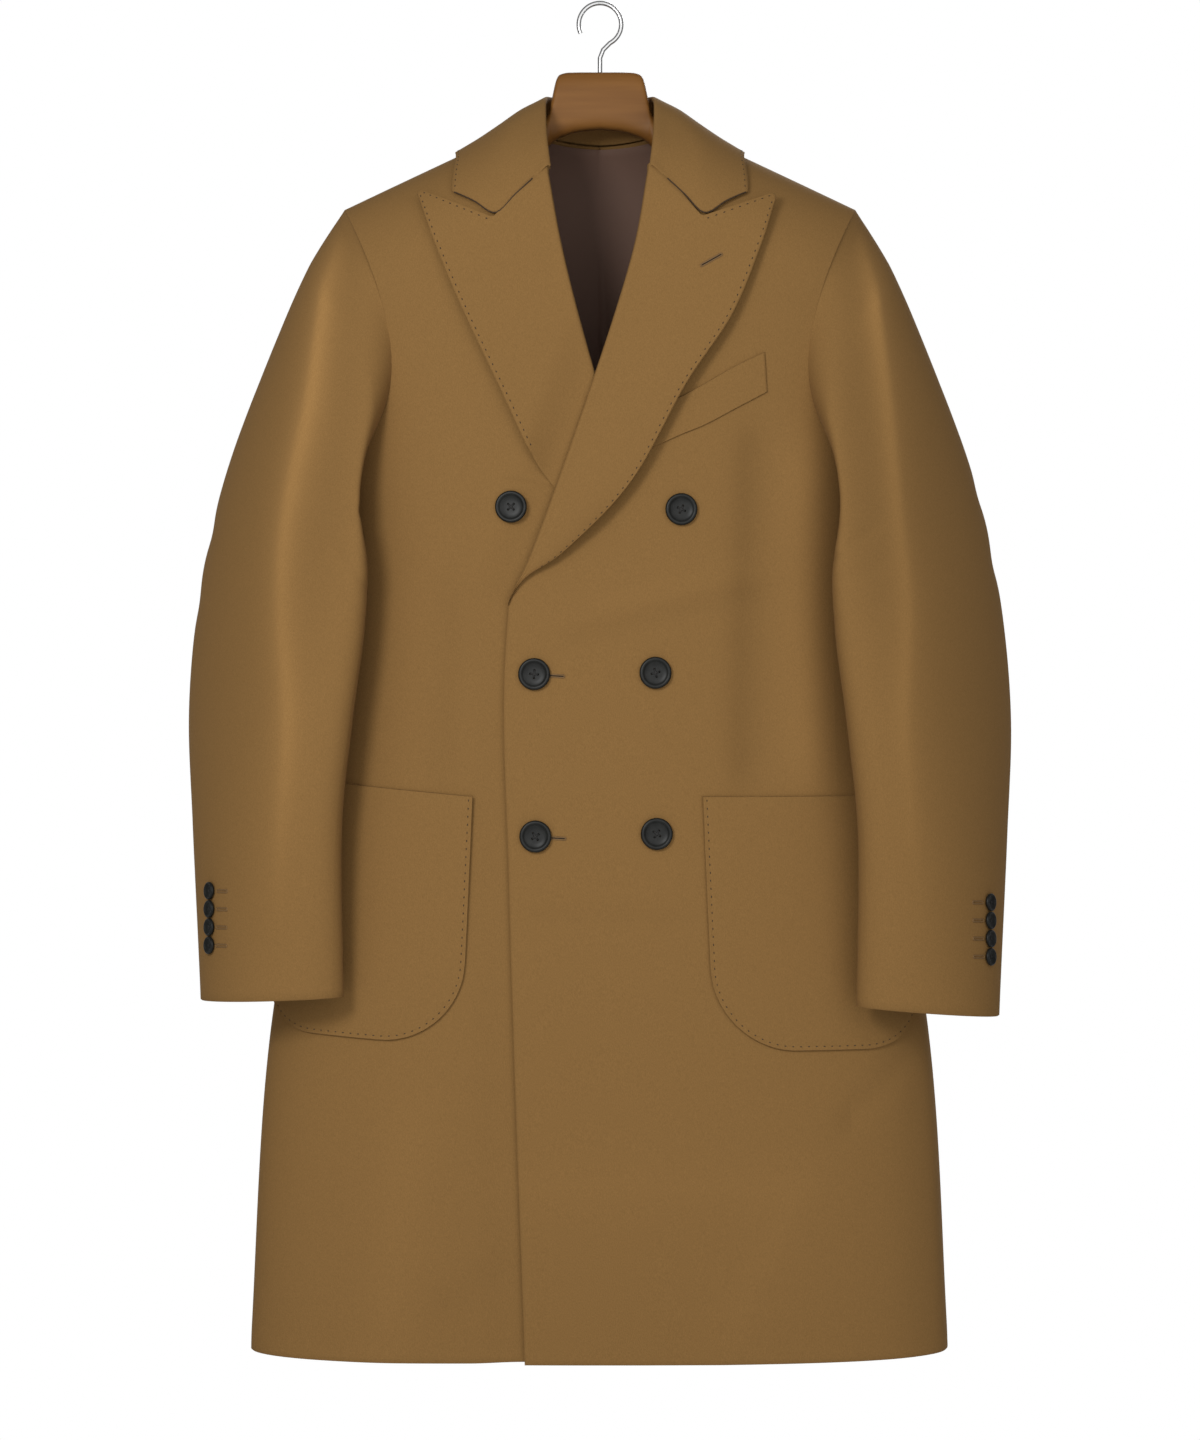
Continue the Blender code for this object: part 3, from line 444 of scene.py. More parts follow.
def smooth(keys, values, at):
    """Values at keys on a smooth curve through a table's rows."""
    slopes = np.gradient(values, keys, axis=0)
    at = np.clip(at, keys[0], keys[-1])
    row = np.clip(np.searchsorted(keys, at) - 1, 0, len(keys) - 2)
    span = keys[row + 1] - keys[row]
    s = (at - keys[row]) / span
    near = (1 + 2 * s) * (1 - s) ** 2
    far = s * s * (3 - 2 * s)
    if values.ndim > 1:
        near, far, s, span = (np.asarray(v)[..., None] for v in (near, far, s, span))
    bend = span * (s * (1 - s) ** 2 * slopes[row] + s * s * (s - 1) * slopes[row + 1])
    return near * values[row] + far * values[row + 1] + bend


def row_at(table, share):
    """All columns of a table, read at a share of the way down it."""
    return smooth(np.linspace(0, 1, len(table)), np.array(table, float), share)


def ease(s):
    """0 to 1 with soft ends."""
    s = np.clip(s, 0.0, 1.0)
    return s * s * (3 - 2 * s)


def walked(line):
    """Distances along a line, from its first point to each of its points."""
    return np.concatenate(([0.0], np.cumsum(np.linalg.norm(np.diff(line, axis=0), axis=1))))


def unit(vectors):
    return vectors / np.linalg.norm(vectors, axis=-1, keepdims=True)


def at_height(x, y, drop):
    """Points from x, y and drop."""
    return np.stack(np.broadcast_arrays(x, y, -HOOK_RISE - drop), axis=-1).astype(float)


def drop_of(points):
    return -HOOK_RISE - points[..., 2]


# The body's surface
def shoulder_line(x):
    return SHOULDER_DROP - (SHOULDER_HALF - np.abs(x)) * SHOULDER_SLOPE


def ring(drop, name):
    return smooth(column(BODY, BODY_COLUMNS, "drop"), column(BODY, BODY_COLUMNS, name), drop)


def turn_at(x, drop, face):
    """Angle round the ring at x: a quarter turn at the centre front, 0 at the side, minus at the back."""
    share = np.minimum(np.abs(x) / ring(drop, "half"), 1.0)
    return -face * np.arccos(share ** (RING_POWER / 2))


def body_point(side, turn, drop):
    """Points on the smooth body at angles round the ring and drops."""
    x = ring(drop, "half") * np.maximum(np.cos(turn), 0.0) ** (2 / RING_POWER)
    rise = np.clip((drop - shoulder_line(x)) / SHOULDER_ROUND, 0.0, 1.0)
    depth = np.where(np.asarray(turn) > 0, ring(drop, "front"), -ring(drop, "back"))
    y = -depth * np.abs(np.sin(turn)) ** (2 / RING_POWER) * np.sqrt(1 - (1 - rise) ** 2)
    return at_height(side * x, y, drop)


def body_normal(side, turn, drop):
    """Outward directions of the smooth body."""
    here = body_point(side, turn, drop)
    to_side = np.where(np.asarray(turn) > 0, -TURN_STEP, TURN_STEP)
    round_step = body_point(side, turn + to_side, drop) - here
    down_step = body_point(side, turn, drop + DROP_STEP) - here
    normal = unit(np.cross(round_step, down_step))
    outward = here * (1, 1, 0) + (0, 0, UPWARD)
    return normal * np.where(np.sum(normal * outward, axis=-1) < 0, -1.0, 1.0)[..., None]


def fold_shape(place, drop, fold):
    """Height of one fold, by the distance from its line and past its ends."""
    start = np.array(fold[0:2], float)
    reach = np.array(fold[2:4], float) - start
    width, height, sharp = fold[4:7]
    length = np.hypot(*reach)
    heading = reach / length
    to_x, to_y = place - start[0], drop - start[1]
    forward = to_x * heading[0] + to_y * heading[1]
    across = to_x * heading[1] - to_y * heading[0]
    past = np.maximum(np.maximum(-forward, forward - length) + width, 0.0) / (2 * width)
    if sharp:
        profile = np.exp(-np.sqrt(across ** 2 + FOLD_TIP ** 2) / width)
    else:
        profile = np.exp(-(across / width) ** 2)
    return height * profile * np.exp(-past ** 2)


def fold_height(points):
    """How far all the body's folds stand out at points of the smooth body."""
    x, y, drop = points[..., 0], points[..., 1], drop_of(points)
    side_x, side_run = FOLD_SIDE
    views = {
        "front": (x, ease(-y / FOLD_FADE)),
        "back": (x, ease(y / FOLD_FADE)),
        "left": (y, ease((-x - side_x) / side_run)),
        "right": (y, ease((x - side_x) / side_run)),
    }
    total = np.zeros(np.shape(x))
    for where, *fold in FOLDS:
        place, weight = views[where]
        total = total + weight * fold_shape(place, drop, fold)
    return total * ease((drop - SHOULDER_DROP) / FOLD_TOP_RUN)


def on_cloth(side, turn, drop, out=0.0):
    """Points over the folded body, moved out."""
    smooth_point = body_point(side, turn, drop)
    lift = np.asarray(out + fold_height(smooth_point))
    return smooth_point + lift[..., None] * body_normal(side, turn, drop)


def on_body(x, drop, face, out=0.0):
    """Points on the front (face -1) or back (face 1) at x and drop, moved out."""
    side = np.where(np.asarray(x) >= 0, 1, -1)
    return on_cloth(side, turn_at(x, drop, face), drop, out)


def roll_x(table, drop):
    return smooth(column(table, LAPEL_COLUMNS, "roll_drop"), column(table, LAPEL_COLUMNS, "roll_x"), drop)


def free_edge(drop):
    drops = column(FREE_EDGE, FREE_EDGE_COLUMNS, "drop")
    return smooth(drops, column(FREE_EDGE, FREE_EDGE_COLUMNS, "x"), drop)


def cover_edge(drop):
    """x of the over front's inner edge: its roll line, then its free edge."""
    return np.maximum(roll_x(LAPEL_OVER, drop), free_edge(drop))


def inset(x, drop):
    """How far in the under front lies at x and drop."""
    return COVER_INSET * ease((x - cover_edge(drop) + COVER_START) / COVER_RUN)


# Shells from grids of points
def make(name, vertices, faces, look, fibre_and_painted_shading=None):
    """A smooth mesh object from points in millimetres, with painted shading (a colour tone, lighter on
    ridges and darker in troughs) for its first points.
    """
    mesh = bpy.data.meshes.new(name)
    mesh.from_pydata((np.asarray(vertices) * MM).tolist(), [], faces)
    mesh.shade_smooth()
    mesh.set_sharp_from_angle(angle=SHARP_ANGLE)
    mesh.materials.append(look)
    # painted shading: a colour tone per point, lighter on ridges and darker in troughs
    if fibre_and_painted_shading is not None:
        tone = np.zeros(len(mesh.vertices))
        tone[:fibre_and_painted_shading.size] = fibre_and_painted_shading.ravel()
        mesh.attributes.new(PAINTED_SHADING, "FLOAT", "POINT").data.foreach_set("value", tone)
    piece = bpy.data.objects.new(name, mesh)
    bpy.context.scene.collection.objects.link(piece)
    return piece


def signed_volume(vertices, faces):
    quads = vertices[np.array(faces)]
    first = np.sum(quads[:, 0] * np.cross(quads[:, 1], quads[:, 2]))
    return first + np.sum(quads[:, 0] * np.cross(quads[:, 2], quads[:, 3]))


def drawn_in(grid, rim):
    """A grid with its four borders drawn in a little, which rounds the rim between two grids."""
    moved = grid.copy()
    borders = (
        (np.s_[0, :], np.s_[1, :]),
        (np.s_[-1, :], np.s_[-2, :]),
        (np.s_[:, 0], np.s_[:, 1]),
        (np.s_[:, -1], np.s_[:, -2]),
    )
    for (border, beside), edge in zip(borders, rim):
        step = grid[beside] - grid[border]
        length = np.linalg.norm(step, axis=-1, keepdims=True)
        moved[border] += step * np.minimum(edge / np.maximum(length, SHORTEST_STEP), RIM_MOST)
    return moved


def shell(name, outer, inner, look, round_rim, fibre_and_painted_shading):
    """A closed thin shell between two grids, with a rounded rim."""
    rows, columns = outer.shape[:2]
    count = rows * columns
    rim = list(range(columns))
    rim += [r * columns + columns - 1 for r in range(1, rows)]
    rim += [(rows - 1) * columns + c for c in range(columns - 2, -1, -1)]
    rim += [r * columns for r in range(rows - 2, 0, -1)]
    middle = ((outer + inner) / 2).reshape(-1, 3)[rim]
    faces_in_out = [drawn_in(grid, round_rim).reshape(-1, 3) for grid in (outer, inner)]
    vertices = np.concatenate((*faces_in_out, middle))
    faces = []
    for r in range(rows - 1):
        for c in range(columns - 1):
            a = r * columns + c
            faces.append((a, a + 1, a + columns + 1, a + columns))
            faces.append((count + a, count + a + columns, count + a + columns + 1, count + a + 1))
    for i in range(len(rim)):
        j = (i + 1) % len(rim)
        mid_i, mid_j = 2 * count + i, 2 * count + j
        faces.append((rim[j], rim[i], mid_i, mid_j))
        faces.append((mid_j, mid_i, count + rim[i], count + rim[j]))
    if signed_volume(vertices, faces) < 0:
        faces = [face[::-1] for face in faces]
    return make(name, vertices, faces, look, fibre_and_painted_shading)


def dress(piece, slot, *nodes):
    """A piece rides on the coat and stands for its nodes; the slot is not used."""
    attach(piece, "root")
    if nodes:
        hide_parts(*nodes)
    return piece


def cut_of(grid):
    """Width, length and area of a grid laid flat, in metres."""
    steps_across = np.linalg.norm(np.diff(grid, axis=1), axis=-1)
    steps_down = np.linalg.norm(np.diff(grid, axis=0), axis=-1)
    sides = np.cross(grid[1:, :-1] - grid[:-1, :-1], grid[:-1, 1:] - grid[:-1, :-1])
    area = np.sum(np.linalg.norm(sides, axis=-1)) * MM * MM
    width = np.max(np.sum(steps_across, axis=1)) * MM
    length = np.max(np.sum(steps_down, axis=0)) * MM
    return width, length, area


def cloth(node, outer, inner, looks, slot="wool", rim=FREE_RIM, fibre_and_painted_shading=None,
          flat=None):
    """A cloth piece that stands for its node. Its width, length and area are worked out, by its flat size
    where that is given, but not used.
    """
    piece = dress(shell(node + "_cloth", outer, inner, looks[slot], rim, fibre_and_painted_shading), slot, node)
    width, length, area = cut_of(outer)
    width, length = flat or (width, length)
    area = min(area, width * length)


# Armholes
def sleeve_curve(share, turn):
    """x, y and drop of the sleeve's ring at a share of its length."""
    outer, front, inner, back = row_at(SLEEVE, share).reshape(4, 3)
    cosine = np.cos(turn)[..., None]
    sine = np.sin(turn)[..., None]
    centre = (outer + inner) / 2
    middle = (front + back) / 2
    return (centre + (outer - inner) / 2 * cosine + (front - back) / 2 * sine
            + (middle - centre) * sine ** 2)


def seam_corner(face):
    """x and drop where a side seam leaves the armhole."""
    x, _, drop = sleeve_curve(0.0, np.array(FRONT_SEAM_TURN if face < 0 else BACK_SEAM_TURN))
    return x, drop


def armhole_point(side, turn):
    """Points of the armhole seam on the body, by their angle from the shoulder point."""
    turn = np.asarray(turn) % math.tau
    x, _, drop = np.moveaxis(sleeve_curve(0.0, turn), -1, 0)
    first = turn_at(*seam_corner(-1), -1)
    last = turn_at(*seam_corner(1), 1)
    under = first + (last - first) * (turn - FRONT_SEAM_TURN) / (BACK_SEAM_TURN - FRONT_SEAM_TURN)
    front = turn <= FRONT_SEAM_TURN
    back = turn >= BACK_SEAM_TURN
    round_turn = np.where(front, turn_at(x, drop, -1), np.where(back, turn_at(x, drop, 1), under))
    return body_point(side, round_turn, drop)


def armhole_x(drop, face):
    """x of the armhole seam on the front or the back."""
    end = FRONT_SEAM_TURN if face < 0 else BACK_SEAM_TURN - math.tau
    points = sleeve_curve(0.0, np.linspace(0, end, ARMHOLE_POINTS))
    return np.interp(drop, points[:, 2], points[:, 0])


def side_seam_x(drop, face):
    """x of the seam between the side panel and the front or back."""
    corner_x, corner_drop = seam_corner(face)
    drops = np.append(corner_drop, column(SIDE_SEAM, SIDE_SEAM_COLUMNS, "drop"))
    places = column(SIDE_SEAM, SIDE_SEAM_COLUMNS, "front_x" if face < 0 else "back_x")
    return smooth(drops, np.append(corner_x, places), drop)


def outer_x(drop, face):
    """x of a front's or back's outer boundary: the armhole, then the side seam."""
    below = drop > seam_corner(face)[1]
    return np.where(below, side_seam_x(drop, face), armhole_x(drop, face))


# Body panels
def panel_levels(face):
    """Rows of a front or back, with one at the corner of its armhole and side seam."""
    corner_x, corner_drop = seam_corner(face)
    top = shoulder_line(corner_x)
    corner = (corner_drop - top) / (CHEST_DROP - top)
    rounded = ROUND_SHARE * (1 - np.cos(np.linspace(0, math.pi / 2, ROUND_ROWS)))
    levels = (rounded[:-1], np.linspace(ROUND_SHARE, corner, CHEST_ROWS)[:-1],
              np.linspace(corner, 1, CORNER_ROWS)[:-1], np.linspace(1, 2, SKIRT_ROWS))
    return np.concatenate(levels)[:, None]


def level_drop(top, level, hem=HEM_DROP):
    """Drop of a row: between a column's top and the chest, then down to the hem."""
    below = CHEST_DROP + (hem - CHEST_DROP) * (level - 1)
    return np.where(level <= 1, top + (CHEST_DROP - top) * level, below)


def settle_x(start, edge, level):
    """x where each row meets a boundary that is given by drop."""
    x = np.full(np.shape(level), start)
    for _ in range(SETTLE_ROUNDS):
        x = edge(level_drop(shoulder_line(x), level))
    return x


def neck_edge(drop, table, side):
    """x of a front's inner boundary above its break: the neckline, then the roll line."""
    start_x, start_drop = table[0][:2]
    top = shoulder_line(NECK_HALF)
    share = np.clip((drop - top) / (start_drop - top), 0.0, 1.0)
    above = NECK_HALF + (side * start_x - NECK_HALF) * share
    return np.where(drop >= start_drop, side * roll_x(table, drop), above)


def front_panel(node, side, table, hem_rise, covered, looks):
    """One front, from its neckline, roll line and free edge to the armhole and side seam."""
    def inner_edge(drop):
        neck = np.maximum(neck_edge(drop, table, side), free_edge(drop))
        return np.where(drop < table[-1][1], neck, free_edge(drop))

    level = panel_levels(-1)
    start = settle_x(NECK_HALF, inner_edge, level)
    end = settle_x(SHOULDER_HALF, lambda drop: outer_x(drop, -1), level)
    share = np.linspace(0, 1, FRONT_COLUMNS)
    x = side * (start + (end - start) * share)
    drop = level_drop(shoulder_line(x), level, HEM_DROP - hem_rise * (1 - ease(share)))
    depth = inset(x, drop) if covered else np.zeros(x.shape)
    outer = on_body(x, drop, -1, -depth)
    inner = on_body(x, drop, -1, -depth - WALL)
    for grid in (outer, inner):
        grid[..., 1] = np.minimum(grid[..., 1], 0.0)
    # painted shading by the folds' height: lighter where they stand out, darker in their troughs
    cloth(node, outer, inner, looks, rim=FRONT_RIM, fibre_and_painted_shading=fold_height(outer) * PAINTED_SHADING_BODY)


def back_top(x):
    """Drop of a back's top edge: the back neck, then the shoulder seam."""
    share = np.minimum(np.abs(x) / NECK_HALF, 1.0)
    neck = NECK_BACK + (shoulder_line(NECK_HALF) - NECK_BACK) * share ** 2
    return np.where(np.abs(x) < NECK_HALF, np.maximum(neck, shoulder_line(x)), shoulder_line(x))


def back_panel(node, side, looks):
    """One back, from the centre back seam to the armhole and side seam."""
    level = panel_levels(1)
    end = settle_x(SHOULDER_HALF, lambda drop: outer_x(drop, 1), level)
    x = end * np.linspace(0, 1, BACK_COLUMNS)
    drop = level_drop(back_top(x), level)
    outer = on_body(side * x, drop, 1)
    inner = on_body(side * x, drop, 1, -WALL)
    for grid in (outer, inner):
        grid[..., 1] = np.maximum(grid[..., 1], 0.0)
        grid[..., 0] = side * np.maximum(side * grid[..., 0], 0.0)
    # painted shading by the folds' height: lighter where they stand out, darker in their troughs
    cloth(node, outer, inner, looks, rim=SEWN_RIM, fibre_and_painted_shading=fold_height(outer) * PAINTED_SHADING_BODY)


def side_panel(node, side, looks):
    """The panel under the arm, from the front's side seam round to the back's."""
    share = np.linspace(0, 1, SIDE_COLUMNS)
    arm_turn = FRONT_SEAM_TURN + (BACK_SEAM_TURN - FRONT_SEAM_TURN) * share
    level = np.concatenate((np.linspace(0, 1, CORNER_ROWS)[:-1], np.linspace(1, 2, SKIRT_ROWS)))
    level = level[:, None]
    drop = level_drop(sleeve_curve(0.0, arm_turn)[:, 2], level)
    first = turn_at(side_seam_x(drop[:, :1], -1), drop[:, :1], -1)
    last = turn_at(side_seam_x(drop[:, -1:], 1), drop[:, -1:], 1)
    turn = first + (last - first) * share
    wide = ALLOWANCE / ring(drop[:, :1], "half")
    turn = np.concatenate((first + wide, first, turn, last, last - wide), axis=1)
    drop = drop[:, [0, 0, *range(SIDE_COLUMNS), -1, -1]]
    behind = -WALL - ALLOWANCE_DEPTH
    out = np.concatenate(([behind, behind], np.zeros(SIDE_COLUMNS), [behind, behind]))
    cloth(node, on_cloth(side, turn, drop, out), on_cloth(side, turn, drop, out - WALL), looks,
          rim=SEWN_RIM)


def lining_back(looks):
    """The lining behind the neck opening, with a pleat down the centre back."""
    x = np.linspace(-LINING_HALF, LINING_HALF, LINING_COLUMNS)
    rise, reach = LINING_TOP_RISE
    neck = NECK_BACK + LINING_BELOW_NECK - rise * (x / reach) ** 2
    top = np.maximum(neck, shoulder_line(x) + LINING_CLEAR)
    drop = top + (LINING_BOTTOM - top) * np.linspace(0, 1, LINING_ROWS)[:, None]
    open_share = ease((drop - PLEAT_TOP) / PLEAT_RUN)
    pleat = PLEAT_RISE * open_share * np.exp(-np.abs(x) / (PLEAT_WIDTH * (PLEAT_CLOSED + open_share)))
    pleat = pleat * np.where(x > 0, 1.0, PLEAT_UNDER)
    lay = WALL + LINING_LAY + pleat
    outer = on_body(x + 0 * drop, drop, 1, -lay - LINING_WALL)
    inner = on_body(x + 0 * drop, drop, 1, -lay)
    cloth("lining_back", outer, inner, looks, slot="lining")


# Sleeves
def sleeve_ridge(side, turn, share):
    """Strength of the pressed ridge of a sleeve, which sets its height and the painted highlight along it.
    """
    word = SIDE_WORD[side]
    shares = column(RIDGE, RIDGE_COLUMNS, "share")
    ridge_turn = smooth(shares, column(RIDGE, RIDGE_COLUMNS, f"{word}_turn"), share)
    strength = np.interp(share, shares, column(RIDGE, RIDGE_COLUMNS, f"{word}_nap"))
    place = np.where(turn > math.pi, turn - math.tau, turn)
    across = (place - np.radians(ridge_turn)) * SLEEVE_GIRTH
    return strength * np.exp(-np.sqrt(across ** 2 + RIDGE_TIP ** 2) / RIDGE_WIDTH)


def sleeve_folds(side, turn, share):
    """How far the folds of a sleeve stand out."""
    place = np.where(turn > math.pi, turn - math.tau, turn) * SLEEVE_GIRTH
    total = np.zeros(np.shape(place + share))
    for fold_side, turn_0, share_0, turn_1, share_1, *size in SLEEVE_FOLDS:
        if fold_side == side:
            ends = (math.radians(turn_0) * SLEEVE_GIRTH, share_0 * SLEEVE_LENGTH,
                    math.radians(turn_1) * SLEEVE_GIRTH, share_1 * SLEEVE_LENGTH)
            total = total + fold_shape(place, share * SLEEVE_LENGTH, (*ends, *size))
    return total * ease(share / SLEEVE_SETTLE) + RIDGE_HEIGHT * sleeve_ridge(side, turn, share)


def sleeve_normals(side, grid):
    return unit(side * np.cross(np.gradient(grid, axis=1), np.gradient(grid, axis=0)))


def sleeve_grid(side, turn, shares):
    """Points and outward directions of a sleeve's outside, rows down its length."""
    seam = armhole_point(side, turn) + (side * SLEEVE_GAP, 0, 0)
    outer_rise, inner_rise = CUFF_RISE[side]
    rows = []
    for share in shares:
        x, y, drop = np.moveaxis(sleeve_curve(share, turn), -1, 0)
        rise = outer_rise + (inner_rise - outer_rise) * (1 - np.cos(turn)) / 2
        rise = rise * ease((share - CUFF_RISE_START) / (1 - CUFF_RISE_START))
        free = at_height(side * x, y, drop + SLEEVE_DROP[side] * share - rise)
        settle = min(share / SLEEVE_SETTLE, 1.0)
        rows.append(seam * (1 - settle) + free * settle)
    grid = np.array(rows)
    plain = sleeve_normals(side, grid)
    folded = grid + sleeve_folds(side, turn, shares[:, None])[..., None] * plain
    return folded, sleeve_normals(side, folded)


def sleeve_piece(node, side, first, last, columns, rim, looks):
    """Part of the sleeve's ring, between two angles in degrees."""
    turn = np.radians(np.linspace(first, last, columns))
    shares = np.linspace(0, 1, SLEEVE_ROWS)
    outer, normal = sleeve_grid(side, turn, shares)
    centre = np.mean(armhole_point(side, np.radians((0, 90, 180, 270))), axis=0)
    to_centre = unit((centre - outer[0]) * (0, 1, 1))
    under = ((1 - np.cos(turn)) / 2)[:, None]
    seam_inward = unit(to_centre * (1 - under) + np.array((side, 0, 0)) * under)
    near_seam = np.clip(1 - shares / SLEEVE_SEAM_RUN, 0, 1)[:, None, None]
    inward = unit(-normal * (1 - near_seam) + seam_inward * near_seam)
    inner = outer + WALL * inward
    turned_in = outer[0] + seam_inward * (WALL + ALLOWANCE_DEPTH) - (side * ALLOWANCE / 2, 0, 0)
    outer = np.concatenate((turned_in[None], outer))
    inner = np.concatenate(((turned_in + seam_inward * WALL)[None], inner))
    # painted highlight along the sleeve's pressed ridge, lightening the wool's colour there
    fibre_and_painted_shading = sleeve_ridge(side, turn, shares[:, None])
    fibre_and_painted_shading = np.concatenate((fibre_and_painted_shading[:1], fibre_and_painted_shading))
    below_head = outer[int(SLEEVE_ROWS * SLEEVE_HEAD):]
    flat = (cut_of(below_head)[0], cut_of(outer)[1])
    cloth(node, outer, inner, looks, rim=rim, fibre_and_painted_shading=fibre_and_painted_shading, flat=flat)


def sleeves(looks):
    """Both sleeves, each of a top and an under piece."""
    first, last = TOP_SLEEVE_TURN
    for side, word in SIDE_WORD.items():
        sleeve_piece(f"sleeve_top_{word}", side, first, last, TOP_SLEEVE_COLUMNS, TOP_SLEEVE_RIM, looks)
        sleeve_piece(f"sleeve_under_{word}", side, last, first + 360, UNDER_SLEEVE_COLUMNS,
                     UNDER_SLEEVE_RIM, looks)


# Lapels and collar
def lapel_points(x, drop, step, height, covered):
    """Points beside a roll line, at heights over the front that they lie on."""
    here_x = x + step[..., 0]
    here_drop = drop + step[..., 1]
    depth = inset(here_x, here_drop) if covered else 0.0
    return on_body(here_x, here_drop, -1, height - depth)


def lapel_row(side, table, covered, share):
    """Outer and inner line of a lapel across its width, at a share of its length."""
    rx, rd, ex, ed = row_at(table, share)
    roll_start = np.array(table[0][:2], float)
    straight = roll_start + (np.array(table[0][2:]) - roll_start) * NOTCH_SHARE
    across = np.array((ex - rx, ed - rd))
    width = np.hypot(*across)
    across = across / width
    top_lift, low_lift = LAPEL_LIFT[side]
    lift = top_lift + (low_lift - top_lift) * ease(share / LAPEL_LIFT_RUN)
    taper = min(1.0, width / LAPEL_FULL_WIDTH)
    drop = rd + SEAM * LAPEL_SEAMS
    corner = max(LAPEL_TIP - share * LAPEL_EDGE_LENGTH, 0.0)
    tip_cut = LAPEL_TIP - math.sqrt(LAPEL_TIP ** 2 - corner ** 2)
    u = np.linspace(LAPEL_FLAT_START, 1.0 - tip_cut / width, LAPEL_COLUMNS_FLAT)
    tent = np.where(u < NOTCH_SHARE, u / NOTCH_SHARE, (1 - u) / (1 - NOTCH_SHARE))
    bend = max(0.0, 1 - share / LAPEL_NOTCH_RUN)
    to_notch = np.array(NOTCH[side]) - straight
    step = across * (width * u)[:, None] + to_notch * (tent * bend)[:, None]
    free = 1 - inset(rx + step[:, 0], rd + step[:, 1]) / COVER_INSET if covered else 1.0
    puff = LAPEL_PUFF * np.sin(math.pi * np.minimum(u, 0.5))
    height = LAY + free * taper * (puff + lift * u ** 2) + max(0.0, 1 - share / LAPEL_TOP_RUN)
    hidden = inset(rx, rd) / COVER_INSET if covered else 0.0
    roll = np.array(LAPEL_ROLL)
    flatter = roll[:, 1] * (1 - LAPEL_HIDDEN_FLAT * hidden)
    lines = []
    for first, rise, thick in ((0, flatter, WALL), (2, roll[:, 3], 0.0)):
        rolled = lapel_points(rx, drop, across * roll[:, first:first + 1], rise, covered)
        flat = lapel_points(rx, drop, step, height + thick, covered)
        bridge = np.concatenate((rolled, flat[list(LAPEL_BRIDGE)]))
        index = np.arange(len(bridge), dtype=float)
        turned = smooth(index, bridge, np.linspace(0, len(rolled), LAPEL_COLUMNS_ROLL))
        lines.append(np.concatenate((turned[:-1], flat)))
    return lines


def lapel(node, side, table, covered, end, looks):
    """A lapel turned back on its front."""
    shares = end * np.linspace(0, 1, LAPEL_ROWS) ** LAPEL_ROW_POWER
    rows = [lapel_row(side, table, covered, share) for share in shares]
    outer = np.array([row[0] for row in rows])
    inner = np.array([row[1] for row in rows])
    notch = LAPEL_COLUMNS_ROLL + LAPEL_COLUMNS_FLAT * NOTCH_SHARE
    sewn = ease((notch - np.arange(outer.shape[1])) / LAPEL_COLUMNS_ROLL)[:, None]
    tuck = np.array(LAPEL_TUCK) * np.maximum(sewn, LAPEL_TUCK_LEAST)
    whole_outer = np.concatenate(((outer[0] + tuck)[None], outer))
    whole_inner = np.concatenate(((inner[0] + tuck)[None], inner))
    cloth(node, whole_outer, whole_inner, looks)
    return outer


def whole_collar():
    """The collar's table from the left notch round the back to the right one."""
    mirror = [-1 if name.endswith("_x") else 1 for name in COLLAR_COLUMNS]
    left = tuple(tuple(v * m for v, m in zip(row, mirror)) for row in COLLAR[:0:-1])
    return left + COLLAR


def collar_bed(x, turn, out):
    """Point over the shoulder, by x and by its angle down to the front (or the back, minus)."""
    radius, reach = COLLAR_EASE
    eased_x = math.sqrt(x * x + radius ** 2 * max(1 - (x / reach) ** 2, 0.0))
    drop = shoulder_line(eased_x) + SHOULDER_ROUND * (1 - math.cos(math.radians(turn)))
    front_share = ease((turn + COLLAR_TOP_TURN) / (2 * COLLAR_TOP_TURN))
    front = on_body(x, drop, -1, out)
    back = on_body(x, drop, 1, out)
    return front * front_share + back * (1 - front_share)


def collar_fall(value, fold, lift, crown_height):
    """Line of the collar's fall, from the fold to its edge."""
    roll = COLLAR_MID_RISE * max(math.cos(math.radians(value["mid_turn"])), 0.0) ** 2
    mid = collar_bed(value["mid_x"], value["mid_turn"], lift + roll)
    crown = (fold + mid) / 2 + np.array((0, 0, crown_height))
    line = [fold * (1 - f) ** 2 + crown * 2 * f * (1 - f) + mid * f * f for f in COLLAR_FALL_SHARES]
    for f in (0.5, 1.0):
        x = value["mid_x"] + (value["edge_x"] - value["mid_x"]) * f
        turn = value["mid_turn"] + (value["edge_turn"] - value["mid_turn"]) * f
        line.append(collar_bed(x, turn, lift + roll * COLLAR_EDGE_RISE * (1 - f)))
    return line


def collar_section(place):
    """Outer and inner lines of the collar at a place from -1 (left notch) to 1 (right notch)."""
    value = dict(zip(COLLAR_COLUMNS, row_at(whole_collar(), (place + 1) / 2)))
    fold = at_height(value["fold_x"], value["fold_y"], value["fold_drop"])
    neck = at_height(value["neck_x"], value["neck_y"], value["neck_drop"])
    crown = COLLAR_CROWN * ease((1 - abs(place)) / COLLAR_END_RUN)
    fall = collar_fall(value, fold, COLLAR_LIFT, crown)
    under = collar_fall(value, fold - np.array((0, 0, WALL)), COLLAR_LIFT - WALL, crown)
    out = unit((fall[0] - fold) * (1, 1, 0))
    up = np.array((0, 0, 1.0))
    stand = neck - fold
    outer = [neck - stand * s + out * o + up * r for s, o, r, _, _, _ in COLLAR_STAND]
    inner = [neck - stand * s + out * o + up * r for _, _, _, s, o, r in COLLAR_STAND]
    spread = np.linspace(0, len(outer) + len(fall) - 1, COLLAR_LINE)
    index = np.arange(len(outer) + len(fall), dtype=float)
    return [smooth(index, np.array(line), spread) for line in (outer + fall, inner + under)]


